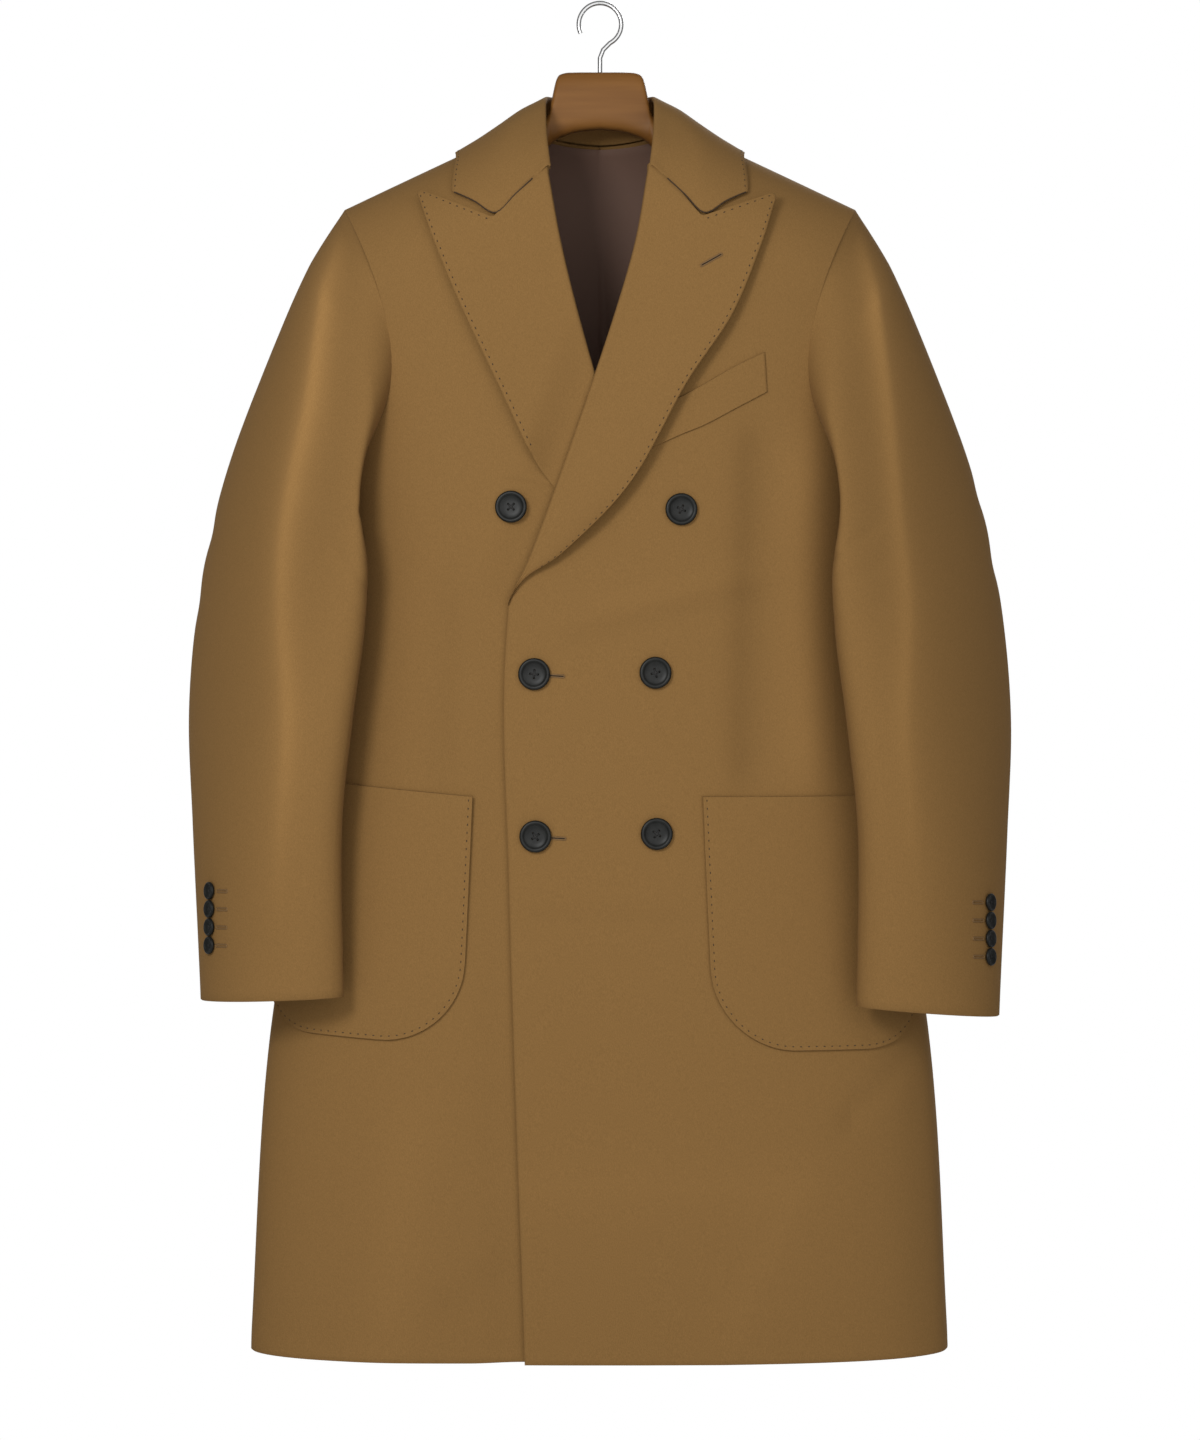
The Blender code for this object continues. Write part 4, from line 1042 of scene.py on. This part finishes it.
def collar(looks):
    """The collar, its outer edge stitches and a dark line of painted shade along each of its seams to the
    lapels.
    """
    places = np.linspace(-1, 1, 2 * COLLAR_HALF_SECTIONS + 1)
    sections = [collar_section(place) for place in places]
    outer = np.array([s[0] for s in sections])
    inner = np.array([s[1] for s in sections])
    cloth("collar", outer, inner, looks)
    edge_stitches("collar_stitches", outer[:, ::-1], (0, 0, 1), looks)
    for row, word in ((0, "left"), (-1, "right")):
        # a dark tube along each seam to a lapel: painted shade of the seam's groove
        seam = tube_mesh(outer[row, COLLAR_LINE // 2:-1] + GORGE_OUT, GORGE_RADIUS, WIRE_SIDES)
        dress(make(f"gorge_shade_line_{word}", *seam, looks["thread"]), "wool")


# Pockets and welt
def crowded(count):
    """Shares from 0 to 1 that crowd near both ends."""
    s = np.linspace(0, 1, count)
    return s - CROWDING * np.sin(math.tau * s)


def walked_turns(side, drops, starts, reaches):
    """Angles round each ring at distances from x on the front, measured towards the side."""
    rows = []
    for drop, start_x in zip(drops, starts):
        start = turn_at(start_x, drop, -1)
        turns = np.linspace(start, start - WALK_TURN, WALK_POINTS)
        line = body_point(side, turns, np.full(turns.shape, drop))
        rows.append(np.interp(reaches, walked(line), turns))
    return np.array(rows)


def slanted(front_x, top, bottom, drop):
    """The x of a pocket's front edge, which slants away from the centre on its way down."""
    shift, still = POCKET_SLANT
    return front_x + shift * ((drop - top) / (bottom - top) - still)


def pocket(side, front_x, top_front, top_back, bottom, low_rise, looks):
    """A patch pocket with round lower corners, laid round the front and the side panel."""
    word = SIDE_WORD[side]
    rows, columns = POCKET_GRID
    share = crowded(columns)
    reach = share * POCKET_WIDTH
    top = top_front + (top_back - top_front) * share
    short = np.maximum(POCKET_CORNER - np.minimum(reach, POCKET_WIDTH - reach), 0.0)
    low = bottom - low_rise * share - POCKET_CORNER + np.sqrt(POCKET_CORNER ** 2 - short ** 2)
    drop = top + (low - top) * crowded(rows)[:, None]
    drops = np.linspace(np.min(drop), np.max(drop), POCKET_LEVELS)
    table = walked_turns(side, drops, slanted(front_x, top_front, bottom, drops), reach)
    turn = np.stack([np.interp(drop[:, c], drops, table[:, c]) for c in range(columns)], axis=1)
    lean = np.sqrt(1 + (np.gradient(low, reach)) ** 2)
    from_edge = np.minimum(np.minimum(reach, POCKET_WIDTH - reach), (low - drop) / lean)
    depth, width = STITCH_GROOVE
    groove = depth * np.exp(-((from_edge - STITCH_IN) / width) ** 2)
    inner = on_cloth(side, turn, drop, POCKET_LAY)
    outer = on_cloth(side, turn, drop, POCKET_LAY + POCKET_WALL - groove)
    flat = (POCKET_WIDTH * MM, (bottom - min(top_front, top_back)) * MM)
    cloth(f"pocket_{word}", outer, inner, looks, flat=flat)
    pocket_stitches(side, front_x, top_front, top_back, bottom, low_rise, looks)


def pocket_stitches(side, front_x, top_front, top_back, bottom, low_rise, looks):
    """Pick stitches down one side of a pocket, round its corners and up the other side."""
    inside = POCKET_CORNER - STITCH_IN
    arc = np.linspace(0, math.pi / 2, POCKET_ARC)
    far = POCKET_WIDTH - POCKET_CORNER
    reach = np.concatenate(([STITCH_IN], POCKET_CORNER - inside * np.cos(arc),
                            far + inside * np.sin(arc), [POCKET_WIDTH - STITCH_IN]))
    low = bottom - POCKET_CORNER
    drop = np.concatenate(([top_front + STITCH_IN], low + inside * np.sin(arc),
                           low + inside * np.cos(arc), [top_back + STITCH_IN]))
    drop = drop - low_rise * reach / POCKET_WIDTH * ease((drop - top_front) / (low - top_front))
    spots = spread_out(np.stack((reach, drop), axis=1), STITCH_STEP)
    reach, drop = spots.T
    table = walked_turns(side, drop, slanted(front_x, top_front, bottom, drop), reach)
    turn = np.diagonal(table)
    points = on_cloth(side, turn, drop, POCKET_LAY + POCKET_WALL - STITCH_GROOVE[0])
    stitches(f"pocket_{SIDE_WORD[side]}_stitches", points, body_normal(side, turn, drop), looks)


def breast_welt(looks):
    """The welt of the breast pocket, which slopes up to the side and runs in under the lapel."""
    rows, columns = WELT_GRID
    places = np.linspace(0, len(WELT) - 1, rows)
    lines = smooth(np.arange(len(WELT), dtype=float), np.array(WELT, float), places)
    across = crowded(columns)
    x = lines[:, 0:1] + (lines[:, 2:3] - lines[:, 0:1]) * across
    drop = lines[:, 1:2] + (lines[:, 3:4] - lines[:, 1:2]) * across
    cloth("breast_welt", on_body(x, drop, -1, LAY + WELT_WALL), on_body(x, drop, -1, LAY), looks)


# Sewing
def spread_out(line, step):
    """Points along a line at about an even step."""
    reach = walked(line)
    at = np.linspace(0, reach[-1], max(int(reach[-1] / step), 1) + 1)
    return np.stack([np.interp(at, reach, line[:, k]) for k in range(line.shape[1])], axis=1)


def inside_edge(grid, distance):
    """Points at a distance in from the first column of a grid, one for each row."""
    return np.array([[np.interp(distance, walked(row), row[:, k]) for k in range(3)] for row in grid])


def grid_normals(grid, outward):
    """Directions out of a grid, on the side that a given direction points to."""
    normal = np.cross(np.gradient(grid, axis=1), np.gradient(grid, axis=0))
    normal = normal / np.maximum(np.linalg.norm(normal, axis=-1, keepdims=True), TINY)
    flip = np.sum(normal * np.asarray(outward), axis=-1) < 0
    return np.where(flip[..., None], -normal, normal)


def nearest_normals(points, grid, outward):
    """Directions out of a grid at the grid points nearest to some points."""
    normals = grid_normals(grid, outward).reshape(-1, 3)
    flat = grid.reshape(-1, 3)
    return np.array([normals[np.argmin(np.sum((flat - p) ** 2, axis=1))] for p in points])


def ball():
    """Points and faces of a small ball."""
    rows, sides = STITCH_BALL
    points = [(0.0, 0.0, 1.0)]
    for r in range(1, rows):
        a = math.pi * r / rows
        points += [(math.sin(a) * math.cos(b), math.sin(a) * math.sin(b), math.cos(a))
                   for b in np.linspace(0, math.tau, sides, endpoint=False)]
    points.append((0.0, 0.0, -1.0))
    faces = []
    for s in range(sides):
        n = (s + 1) % sides
        faces.append((0, 1 + s, 1 + n))
        for r in range(rows - 2):
            a = 1 + r * sides
            faces.append((a + s, a + sides + s, a + sides + n, a + n))
        last = 1 + (rows - 2) * sides
        faces.append((last + s, len(points) - 1, last + n))
    return np.array(points), faces


def stitches(name, points, normals, looks):
    """A row of small pick stitches along points of a cloth."""
    base, base_faces = ball()
    long, wide, high = base.T[:, :, None] * np.array(STITCH_SIZE)[:, None, None] / 2
    made = []
    for point, normal, ahead in zip(points, normals, unit(np.gradient(points, axis=0))):
        across = unit(np.cross(normal, ahead))
        made.append((point + ahead * long + across * wide + normal * high, base_faces))
    dress(make(name, *joined(made), looks["thread"]), "wool")


def edge_stitches(name, grid, outward, looks, trim=(0, 0)):
    """Pick stitches a little in from the first column of a grid, leaving out some rows at its ends."""
    path = inside_edge(grid, STITCH_IN)[trim[0]:len(grid) - trim[1]]
    points = spread_out(path, STITCH_STEP)
    stitches(name, points, nearest_normals(points, grid, outward), looks)


def lapel_stitches(node, grid, looks):
    """Pick stitches along a lapel's outer edge and along its top, out from the notch."""
    edge_stitches(f"{node}_edge_stitches", grid[:, ::-1], (0, -1, 0), looks, LAPEL_EDGE_TRIM)
    top = np.swapaxes(grid, 0, 1)
    notch = LAPEL_COLUMNS_ROLL + int(LAPEL_COLUMNS_FLAT * NOTCH_SHARE)
    edge_stitches(f"{node}_top_stitches", top, (0, -1, 0), looks, (notch, LAPEL_TOP_TRIM))


def joined(meshes):
    """Points and faces of several meshes as one."""
    faces = []
    start = 0
    for points, some in meshes:
        faces += [tuple(start + i for i in face) for face in some]
        start += len(points)
    return np.concatenate([points for points, _ in meshes]), faces


def loft_faces(rings, sides, closed=False):
    """Faces between rings of points, with a cap at both ends unless the rings close on themselves."""
    faces = []
    for r in range(rings if closed else rings - 1):
        for s in range(sides):
            n = (s + 1) % sides
            a, b = r * sides, (r + 1) % rings * sides
            faces.append((a + s, a + n, b + n, b + s))
    if not closed:
        faces.append(tuple(range(sides))[::-1])
        faces.append(tuple((rings - 1) * sides + s for s in range(sides)))
    return faces


def tube_mesh(line, radius, sides, closed=False):
    """Points and faces of a round tube along a line."""
    line = np.asarray(line, float)
    step = np.roll(line, -1, axis=0) - np.roll(line, 1, axis=0) if closed else np.gradient(line, axis=0)
    ahead = unit(step)
    start = np.array((0.0, 1.0, 0.0) if abs(ahead[0][1]) < STEEP else (1.0, 0.0, 0.0))
    vertices = []
    for point, heading in zip(line, ahead):
        start = unit(start - heading * (start @ heading))
        other = np.cross(heading, start)
        vertices += [point + radius * (start * math.cos(a) + other * math.sin(a))
                     for a in np.linspace(0, math.tau, sides, endpoint=False)]
    return np.array(vertices), loft_faces(len(line), sides, closed)


def buttonhole(name, point, normal, ahead, length, looks, cut=True):
    """A worked buttonhole: a loop of thread, and where it is cut, a dark tube of painted shade in the
    narrow opening.
    """
    ahead = unit(ahead - normal * (ahead @ normal))
    across = np.cross(normal, ahead)
    half = length / 2
    angles = np.linspace(-math.pi / 2, math.pi / 2, HOLE_END_POINTS)
    ends = [(half + HOLE_HALF_WIDTH * math.cos(a), HOLE_HALF_WIDTH * math.sin(a)) for a in angles]
    ends += [(-half - HOLE_HALF_WIDTH * math.cos(a), -HOLE_HALF_WIDTH * math.sin(a)) for a in angles]
    loop = [point + ahead * u + across * v for u, v in ends]
    thread = tube_mesh(loop, HOLE_WIRE, WIRE_SIDES, closed=True)
    dress(make(name, *thread, looks["hole_thread"]), "wool")
    # the cut's opening is a dark tube: painted shade
    if cut:
        places = np.linspace(-half, half, HOLE_SLIT_POINTS)
        slit = [point + ahead * u - normal * HOLE_SLIT_DEPTH for u in places]
        dark = tube_mesh(slit, HOLE_HALF_WIDTH * HOLE_SLIT_SHARE, WIRE_SIDES)
        dress(make(name + "_slit", *dark, looks["slit"]), "wool")


def lapel_buttonhole(grid, looks):
    """The buttonhole of the over lapel, at the points of its surface that show at two places."""
    flat = grid.reshape(-1, 3)
    normals = grid_normals(grid, (0, -1, 0)).reshape(-1, 3)
    found = [np.argmin(np.hypot(flat[:, 0] - x, drop_of(flat) - drop)) for x, drop in LAPEL_HOLE]
    start, end = flat[found]
    buttonhole("buttonhole_lapel", (start + end) / 2, unit(normals[found].mean(axis=0)), end - start,
               np.linalg.norm(end - start), looks)


# Buttons
def button_body(radius, thick, holes, look):
    """Mesh of a turned button with holes through it, lying flat with its back at z = 0."""
    angles = np.linspace(0, math.tau, BUTTON_SIDES, endpoint=False)
    profile = np.array(BUTTON_PROFILE) * (radius, thick)
    vertices = [(r * math.cos(a), r * math.sin(a), h) for r, h in profile for a in angles]
    body = make("button_body", vertices, loft_faces(len(profile), BUTTON_SIDES), look)
    drill = BUTTON_HOLE_RADIUS * radius
    drills = [tube_mesh([(x, y, -thick), (x, y, thick * 2)], drill, BUTTON_HOLE_SIDES) for x, y in holes]
    cutter = make("button_cutter", *joined(drills), look)
    cut = body.modifiers.new("holes", "BOOLEAN")
    cut.object = cutter
    cut.solver = "EXACT"
    bpy.context.view_layer.update()
    mesh = bpy.data.meshes.new_from_object(body.evaluated_get(bpy.context.evaluated_depsgraph_get()))
    mesh.set_sharp_from_angle(angle=BUTTON_SHARP_ANGLE)
    for old in (body, cutter):
        bpy.data.objects.remove(old)
    return mesh


def button_strands(radius, thick, holes):
    """Points and faces of the crossed thread, which dips into a button's holes at its ends."""
    reach = np.linspace(0, 1, BUTTON_THREAD_POINTS)
    sink, power = BUTTON_THREAD_SINK
    arch = BUTTON_DISH * thick + BUTTON_THREAD_RISE * thick * np.sin(math.pi * reach)
    height = arch - sink * thick * (np.abs(reach - 0.5) * 2) ** power
    strands = []
    for (x0, y0), (x1, y1) in ((holes[0], holes[3]), (holes[1], holes[2])):
        line = np.stack((x0 + (x1 - x0) * reach, y0 + (y1 - y0) * reach, height), axis=1)
        strands.append(tube_mesh(line, BUTTON_HOLE_RADIUS * radius * BUTTON_THREAD_SHARE, WIRE_SIDES))
    return joined(strands)


def button_model(size, looks):
    """Body mesh and thread of a button with four holes."""
    radius, thick = size[0] / 2, size[1]
    place = BUTTON_HOLE_PLACE * radius
    holes = [(place * a, place * b) for a in (-1, 1) for b in (-1, 1)]
    return button_body(radius, thick, holes, looks["button"]), button_strands(radius, thick, holes)


def place_button(node, model, seat, normal, turned, looks):
    """One button and its thread, set on its seat."""
    mesh, (thread_points, thread_faces) = model
    across = unit(np.cross((0.0, 0.0, 1.0), normal))
    upright = np.cross(normal, across)
    spin = np.array((across * math.cos(turned) + upright * math.sin(turned),
                     upright * math.cos(turned) - across * math.sin(turned), normal))
    copy = mesh.copy()
    coordinates = np.empty(len(copy.vertices) * 3)
    copy.vertices.foreach_get("co", coordinates)
    placed = (coordinates.reshape(-1, 3) / MM) @ spin + seat + normal * LAY
    copy.vertices.foreach_set("co", (placed * MM).ravel())
    copy.update()
    piece = bpy.data.objects.new(node + "_turned", copy)
    bpy.context.scene.collection.objects.link(piece)
    dress(piece, "button", node)
    placed = thread_points @ spin + seat + normal * LAY
    dress(make(node + "_thread", placed, thread_faces, looks["button_thread"]), "button")


def cuff_spot(side, share, turn):
    """Point, outward direction and direction round the cuff of a folded sleeve."""
    step_round, step_down = CUFF_STEPS
    around = np.array((-1.0, 0.0, 1.0))
    points, normal = sleeve_grid(side, np.radians(turn) + step_round * around, share + step_down * around)
    return points[1, 1], normal[1, 1], unit(points[1, 2] - points[1, 0])


def front_buttons(looks):
    """The front's buttons, and buttonholes beside those that close the over front."""
    model = button_model(FRONT_BUTTON_SIZE, looks)
    for index, (x, drop) in enumerate(FRONT_BUTTONS):
        depth = inset(x, drop) if x < cover_edge(drop) else 0.0
        seat = on_body(x, drop, -1, -depth)
        normal = body_normal(1 if x >= 0 else -1, turn_at(x, drop, -1), drop)
        place_button(f"button_front_{index + 1}", model, seat, normal, FRONT_BUTTON_SPIN * index, looks)
        if cover_edge(drop) < x < 0:
            point = on_body(x + FRONT_HOLE_SHIFT, drop + FRONT_HOLE_DROP, -1)
            buttonhole(f"buttonhole_front_{index + 1}", point, normal, np.array(FRONT_HOLE_HEADING),
                       FRONT_HOLE_LENGTH, looks)


def cuff_buttons(looks):
    """A row of buttons on each cuff, with buttonholes that aren't cut."""
    model = button_model(CUFF_BUTTON_SIZE, looks)
    shares = np.linspace(*CUFF_SHARES)
    for side, word in SIDE_WORD.items():
        drops = [drop_of(cuff_spot(side, s, CUFF_BUTTON_TURN)[0]) for s in shares]
        for index in range(CUFF_BUTTON_COUNT):
            drop = CUFF_BUTTON_FIRST + SLEEVE_DROP[side] + index * CUFF_BUTTON_STEP
            share = float(np.interp(drop, drops, shares))
            seat, normal, _ = cuff_spot(side, share, CUFF_BUTTON_TURN)
            name = f"{word}_{index + 1}"
            place_button(f"button_cuff_{name}", model, seat, normal, CUFF_BUTTON_SPIN * index, looks)
            point, normal, ahead = cuff_spot(side, share, CUFF_HOLE_TURN)
            buttonhole(f"buttonhole_cuff_{name}", point, normal, ahead, CUFF_HOLE_LENGTH, looks, cut=False)


# Hanger
def hanger(looks):
    """The wooden hanger: a head with an arched underside and two arms under the shoulders."""
    half_shares = np.linspace(0, 1, HANGER_RINGS * (len(HANGER) - 1) + 1)
    angles = np.linspace(0, math.tau, HANGER_SIDES, endpoint=False)
    rings = []
    for sign, share in [(-1, s) for s in half_shares[:0:-1]] + [(1, s) for s in half_shares]:
        x, top, bottom, depth, power = row_at(HANGER, share)
        cosine = np.sign(np.cos(angles)) * np.abs(np.cos(angles)) ** power
        sine = np.sign(np.sin(angles)) * np.abs(np.sin(angles)) ** power
        rings.append(at_height(sign * x, depth * sine, (top + bottom) / 2 - (bottom - top) / 2 * cosine))
    faces = loft_faces(len(rings), HANGER_SIDES)
    dress(make("hanger_wood", np.concatenate(rings), faces, looks["wood"]), "wood", "hanger")


def hanger_hook(looks):
    """The steel hook: a stem out of the head and a round bend over the top."""
    centre = HOOK_WIRE - HOOK_BEND
    low = centre - HOOK_BEND
    line = [
        (0.0, 0.0, -HOOK_RISE + 2 * SEAM),
        (0.0, 0.0, low - HOOK_STEM[0]),
        (HOOK_SWING, 0.0, low - HOOK_STEM[1]),
    ]
    for angle in np.radians(np.linspace(*HOOK_ANGLES, HOOK_POINTS)):
        line.append((HOOK_BEND * math.cos(angle), 0.0, centre + HOOK_BEND * math.sin(angle)))
    wire = tube_mesh(line, HOOK_WIRE, HOOK_SIDES)
    dress(make("hook_wire", *wire, looks["steel"]), "steel", "hanger_hook")


# Materials
def material(name, color, roughness, **sockets):
    """A material with one plain shader; further sockets are given by name."""
    look = bpy.data.materials.new(name)
    look.use_nodes = True
    shader = look.node_tree.nodes["Principled BSDF"]
    shader.inputs["Base Color"].default_value = (*color, 1.0)
    shader.inputs["Roughness"].default_value = roughness
    for socket, value in sockets.items():
        shader.inputs[socket.replace("_", " ")].default_value = value
    return look


def noise(look, scale, detail, stretch=(1.0, 1.0, 1.0)):
    """A noise texture fixed to the object, which can be stretched along its axes."""
    tree = look.node_tree
    place = tree.nodes.new("ShaderNodeTexCoord")
    mapping = tree.nodes.new("ShaderNodeMapping")
    mapping.inputs["Scale"].default_value = stretch
    texture = tree.nodes.new("ShaderNodeTexNoise")
    texture.inputs["Scale"].default_value = scale
    texture.inputs["Detail"].default_value = detail
    tree.links.new(place.outputs["Object"], mapping.inputs["Vector"])
    tree.links.new(mapping.outputs["Vector"], texture.inputs["Vector"])
    return texture.outputs["Fac"]


def mottle(look, value, dark, light, limits):
    """Colour between two tones, by a texture's value between two limits."""
    tree = look.node_tree
    ramp = tree.nodes.new("ShaderNodeValToRGB")
    for stop, place, color in zip(ramp.color_ramp.elements, limits, (dark, light)):
        stop.position = place
        stop.color = (*color, 1.0)
    tree.links.new(value, ramp.inputs["Fac"])
    tree.links.new(ramp.outputs["Color"], tree.nodes["Principled BSDF"].inputs["Base Color"])
    return ramp.outputs["Color"]


def with_painted_shading(look, color):
    """Painted shading: colour made lighter on the folds' ridges and the sleeves' pressed ridges, and
    darker in the folds' troughs.
    """
    tree = look.node_tree
    tone = tree.nodes.new("ShaderNodeAttribute")
    tone.attribute_name = PAINTED_SHADING
    gain = tree.nodes.new("ShaderNodeMath")
    gain.inputs[1].default_value = 1.0
    change = tree.nodes.new("ShaderNodeHueSaturation")
    tree.links.new(tone.outputs["Fac"], gain.inputs[0])
    tree.links.new(gain.outputs["Value"], change.inputs["Value"])
    tree.links.new(color, change.inputs["Color"])
    tree.links.new(change.outputs["Color"], tree.nodes["Principled BSDF"].inputs["Base Color"])


def bump(look, value, depth, strength):
    """Fine relief by a texture's value."""
    tree = look.node_tree
    node = tree.nodes.new("ShaderNodeBump")
    node.inputs["Distance"].default_value = depth
    node.inputs["Strength"].default_value = strength
    tree.links.new(value, node.inputs["Height"])
    tree.links.new(node.outputs["Normal"], tree.nodes["Principled BSDF"].inputs["Normal"])


def wool():
    """Felted camel wool: a fine uneven tone, a short pile that catches light at the edges, and painted
    shading along the folds and ridges.
    """
    look = material("wool", WOOL_LIGHT, roughness=0.92, Sheen_Weight=WOOL_SHEEN, Sheen_Roughness=0.45,
                    Sheen_Tint=(*WOOL_SHEEN_TINT, 1.0), Specular_IOR_Level=0.1)
    fibre_and_painted_shading = noise(look, scale=1300.0, detail=4.0, stretch=(1.0, 1.0, 0.6))
    # painted shading along the folds and the sleeves' ridges, laid over the mottled colour
    with_painted_shading(look, mottle(look, fibre_and_painted_shading, WOOL_DARK, WOOL_LIGHT, limits=(0.25, 0.75)))
    bump(look, fibre_and_painted_shading, depth=0.0003, strength=0.3)
    return look


def lining():
    """Smooth brown lining."""
    look = material("lining", LINING_COLOR, roughness=0.6, Specular_IOR_Level=0.12)
    bump(look, noise(look, scale=2400.0, detail=2.0), depth=0.0001, strength=0.2)
    return look


def wood():
    """Satin stained wood with its grain along X."""
    look = material("wood", WOOD_LIGHT, roughness=0.5, Specular_IOR_Level=0.2)
    grain = noise(look, scale=90.0, detail=6.0, stretch=(0.08, 1.0, 1.0))
    mottle(look, grain, WOOD_DARK, WOOD_LIGHT, limits=(0.3, 0.72))
    return look


def horn():
    """Dark horn with a soft gloss."""
    look = material("horn", HORN_LIGHT, roughness=0.42, Specular_IOR_Level=0.24)
    mottle(look, noise(look, scale=160.0, detail=4.0), HORN_DARK, HORN_LIGHT, limits=(0.35, 0.7))
    return look


def all_looks():
    """Every material of the coat by its name."""
    return {
        "wool": wool(),
        "lining": lining(),
        "wood": wood(),
        "button": horn(),
        "steel": material("steel", STEEL_COLOR, roughness=0.24, Metallic=1.0),
        "thread": material("thread", THREAD_COLOR, roughness=0.8),
        "hole_thread": material("hole_thread", HOLE_THREAD_COLOR, roughness=0.8),
        "slit": material("slit", SLIT_SHADE_COLOR, roughness=0.9),
        "button_thread": material("button_thread", BUTTON_THREAD_COLOR, roughness=0.7),
    }


# Stage, light and camera
def floor():
    """A plain pale round floor."""
    angles = np.linspace(0, math.tau, FLOOR_SIDES, endpoint=False)
    vertices = at_height(FLOOR_RADIUS / MM * np.cos(angles), FLOOR_RADIUS / MM * np.sin(angles),
                         -FLOOR_HEIGHT / MM - HOOK_RISE)
    look = material("floor", FLOOR_COLOR, roughness=0.9)
    make("floor", vertices, [tuple(range(len(angles)))], look)


def surroundings():
    """Soft light all round: pale in front of the coat and behind it, dimmer at its sides."""
    world = bpy.data.worlds.new("studio")
    world.use_nodes = True
    tree = world.node_tree
    place = tree.nodes.new("ShaderNodeTexCoord")
    split = tree.nodes.new("ShaderNodeSeparateXYZ")
    size = tree.nodes.new("ShaderNodeMath")
    size.operation = "ABSOLUTE"
    ramp = tree.nodes.new("ShaderNodeValToRGB")
    ramp.color_ramp.interpolation = "EASE"
    for stop, at, light in zip(ramp.color_ramp.elements, WORLD_STOPS, (WORLD_DIM, WORLD_PALE)):
        stop.position = at
        stop.color = (light, light, light, 1.0)
    tree.links.new(place.outputs["Generated"], split.inputs["Vector"])
    tree.links.new(split.outputs["Y"], size.inputs[0])
    tree.links.new(size.outputs["Value"], ramp.inputs["Fac"])
    tree.links.new(ramp.outputs["Color"], tree.nodes["Background"].inputs["Color"])
    bpy.context.scene.world = world


def lamp(name, place, aim, size, power):
    """A round soft lamp at a place, facing a point."""
    light = bpy.data.lights.new(name, "AREA")
    light.shape = "DISK"
    light.size = size
    light.energy = power
    piece = bpy.data.objects.new(name, light)
    piece.location = place
    heading = Vector(aim) - Vector(place)
    piece.rotation_euler = heading.to_track_quat("-Z", "Y").to_euler()
    bpy.context.scene.collection.objects.link(piece)


def studio():
    """Floor, surroundings and lamps, with plain colours."""
    floor()
    surroundings()
    for row in LAMPS:
        lamp(*row)
    bpy.context.scene.view_settings.view_transform = "Standard"


def camera():
    """The photograph's view: level, square on to the front."""
    view = bpy.data.cameras.new("photo_view")
    view.sensor_fit = "HORIZONTAL"
    view.sensor_width = SENSOR_WIDTH
    view.lens = SENSOR_WIDTH * CAMERA_DISTANCE / CAMERA_VIEW_WIDTH
    piece = bpy.data.objects.new("photo_view", view)
    piece.location = (0, -CAMERA_DISTANCE, CAMERA_HEIGHT)
    piece.rotation_euler = (math.pi / 2, 0, 0)
    bpy.context.scene.collection.objects.link(piece)
    bpy.context.scene.camera = piece


def coat(looks):
    """All the cloth, its sewing and its buttons."""
    front_panel("front_over", 1, LAPEL_OVER, 0.0, False, looks)
    front_panel("front_under", -1, LAPEL_UNDER, UNDER_HEM_RISE, True, looks)
    for side, word in SIDE_WORD.items():
        back_panel(f"back_{word}", side, looks)
        side_panel(f"side_{word}", side, looks)
    lining_back(looks)
    sleeves(looks)
    over = lapel("lapel_over", 1, LAPEL_OVER, False, 1.0, looks)
    under = lapel("lapel_under", -1, LAPEL_UNDER, True, LAPEL_UNDER_END, looks)
    lapel_stitches("lapel_over", over, looks)
    lapel_stitches("lapel_under", under, looks)
    lapel_buttonhole(over, looks)
    collar(looks)
    for row in POCKETS:
        pocket(*row, looks)
    breast_welt(looks)
    front_buttons(looks)
    cuff_buttons(looks)


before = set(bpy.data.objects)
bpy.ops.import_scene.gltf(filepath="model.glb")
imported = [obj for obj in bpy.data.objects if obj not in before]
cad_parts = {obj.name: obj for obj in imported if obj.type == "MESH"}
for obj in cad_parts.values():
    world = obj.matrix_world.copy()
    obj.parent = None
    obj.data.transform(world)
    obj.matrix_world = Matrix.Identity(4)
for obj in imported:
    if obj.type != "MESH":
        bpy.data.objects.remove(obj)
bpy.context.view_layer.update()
looks = all_looks()
coat(looks)
hanger(looks)
hanger_hook(looks)
studio()
camera()
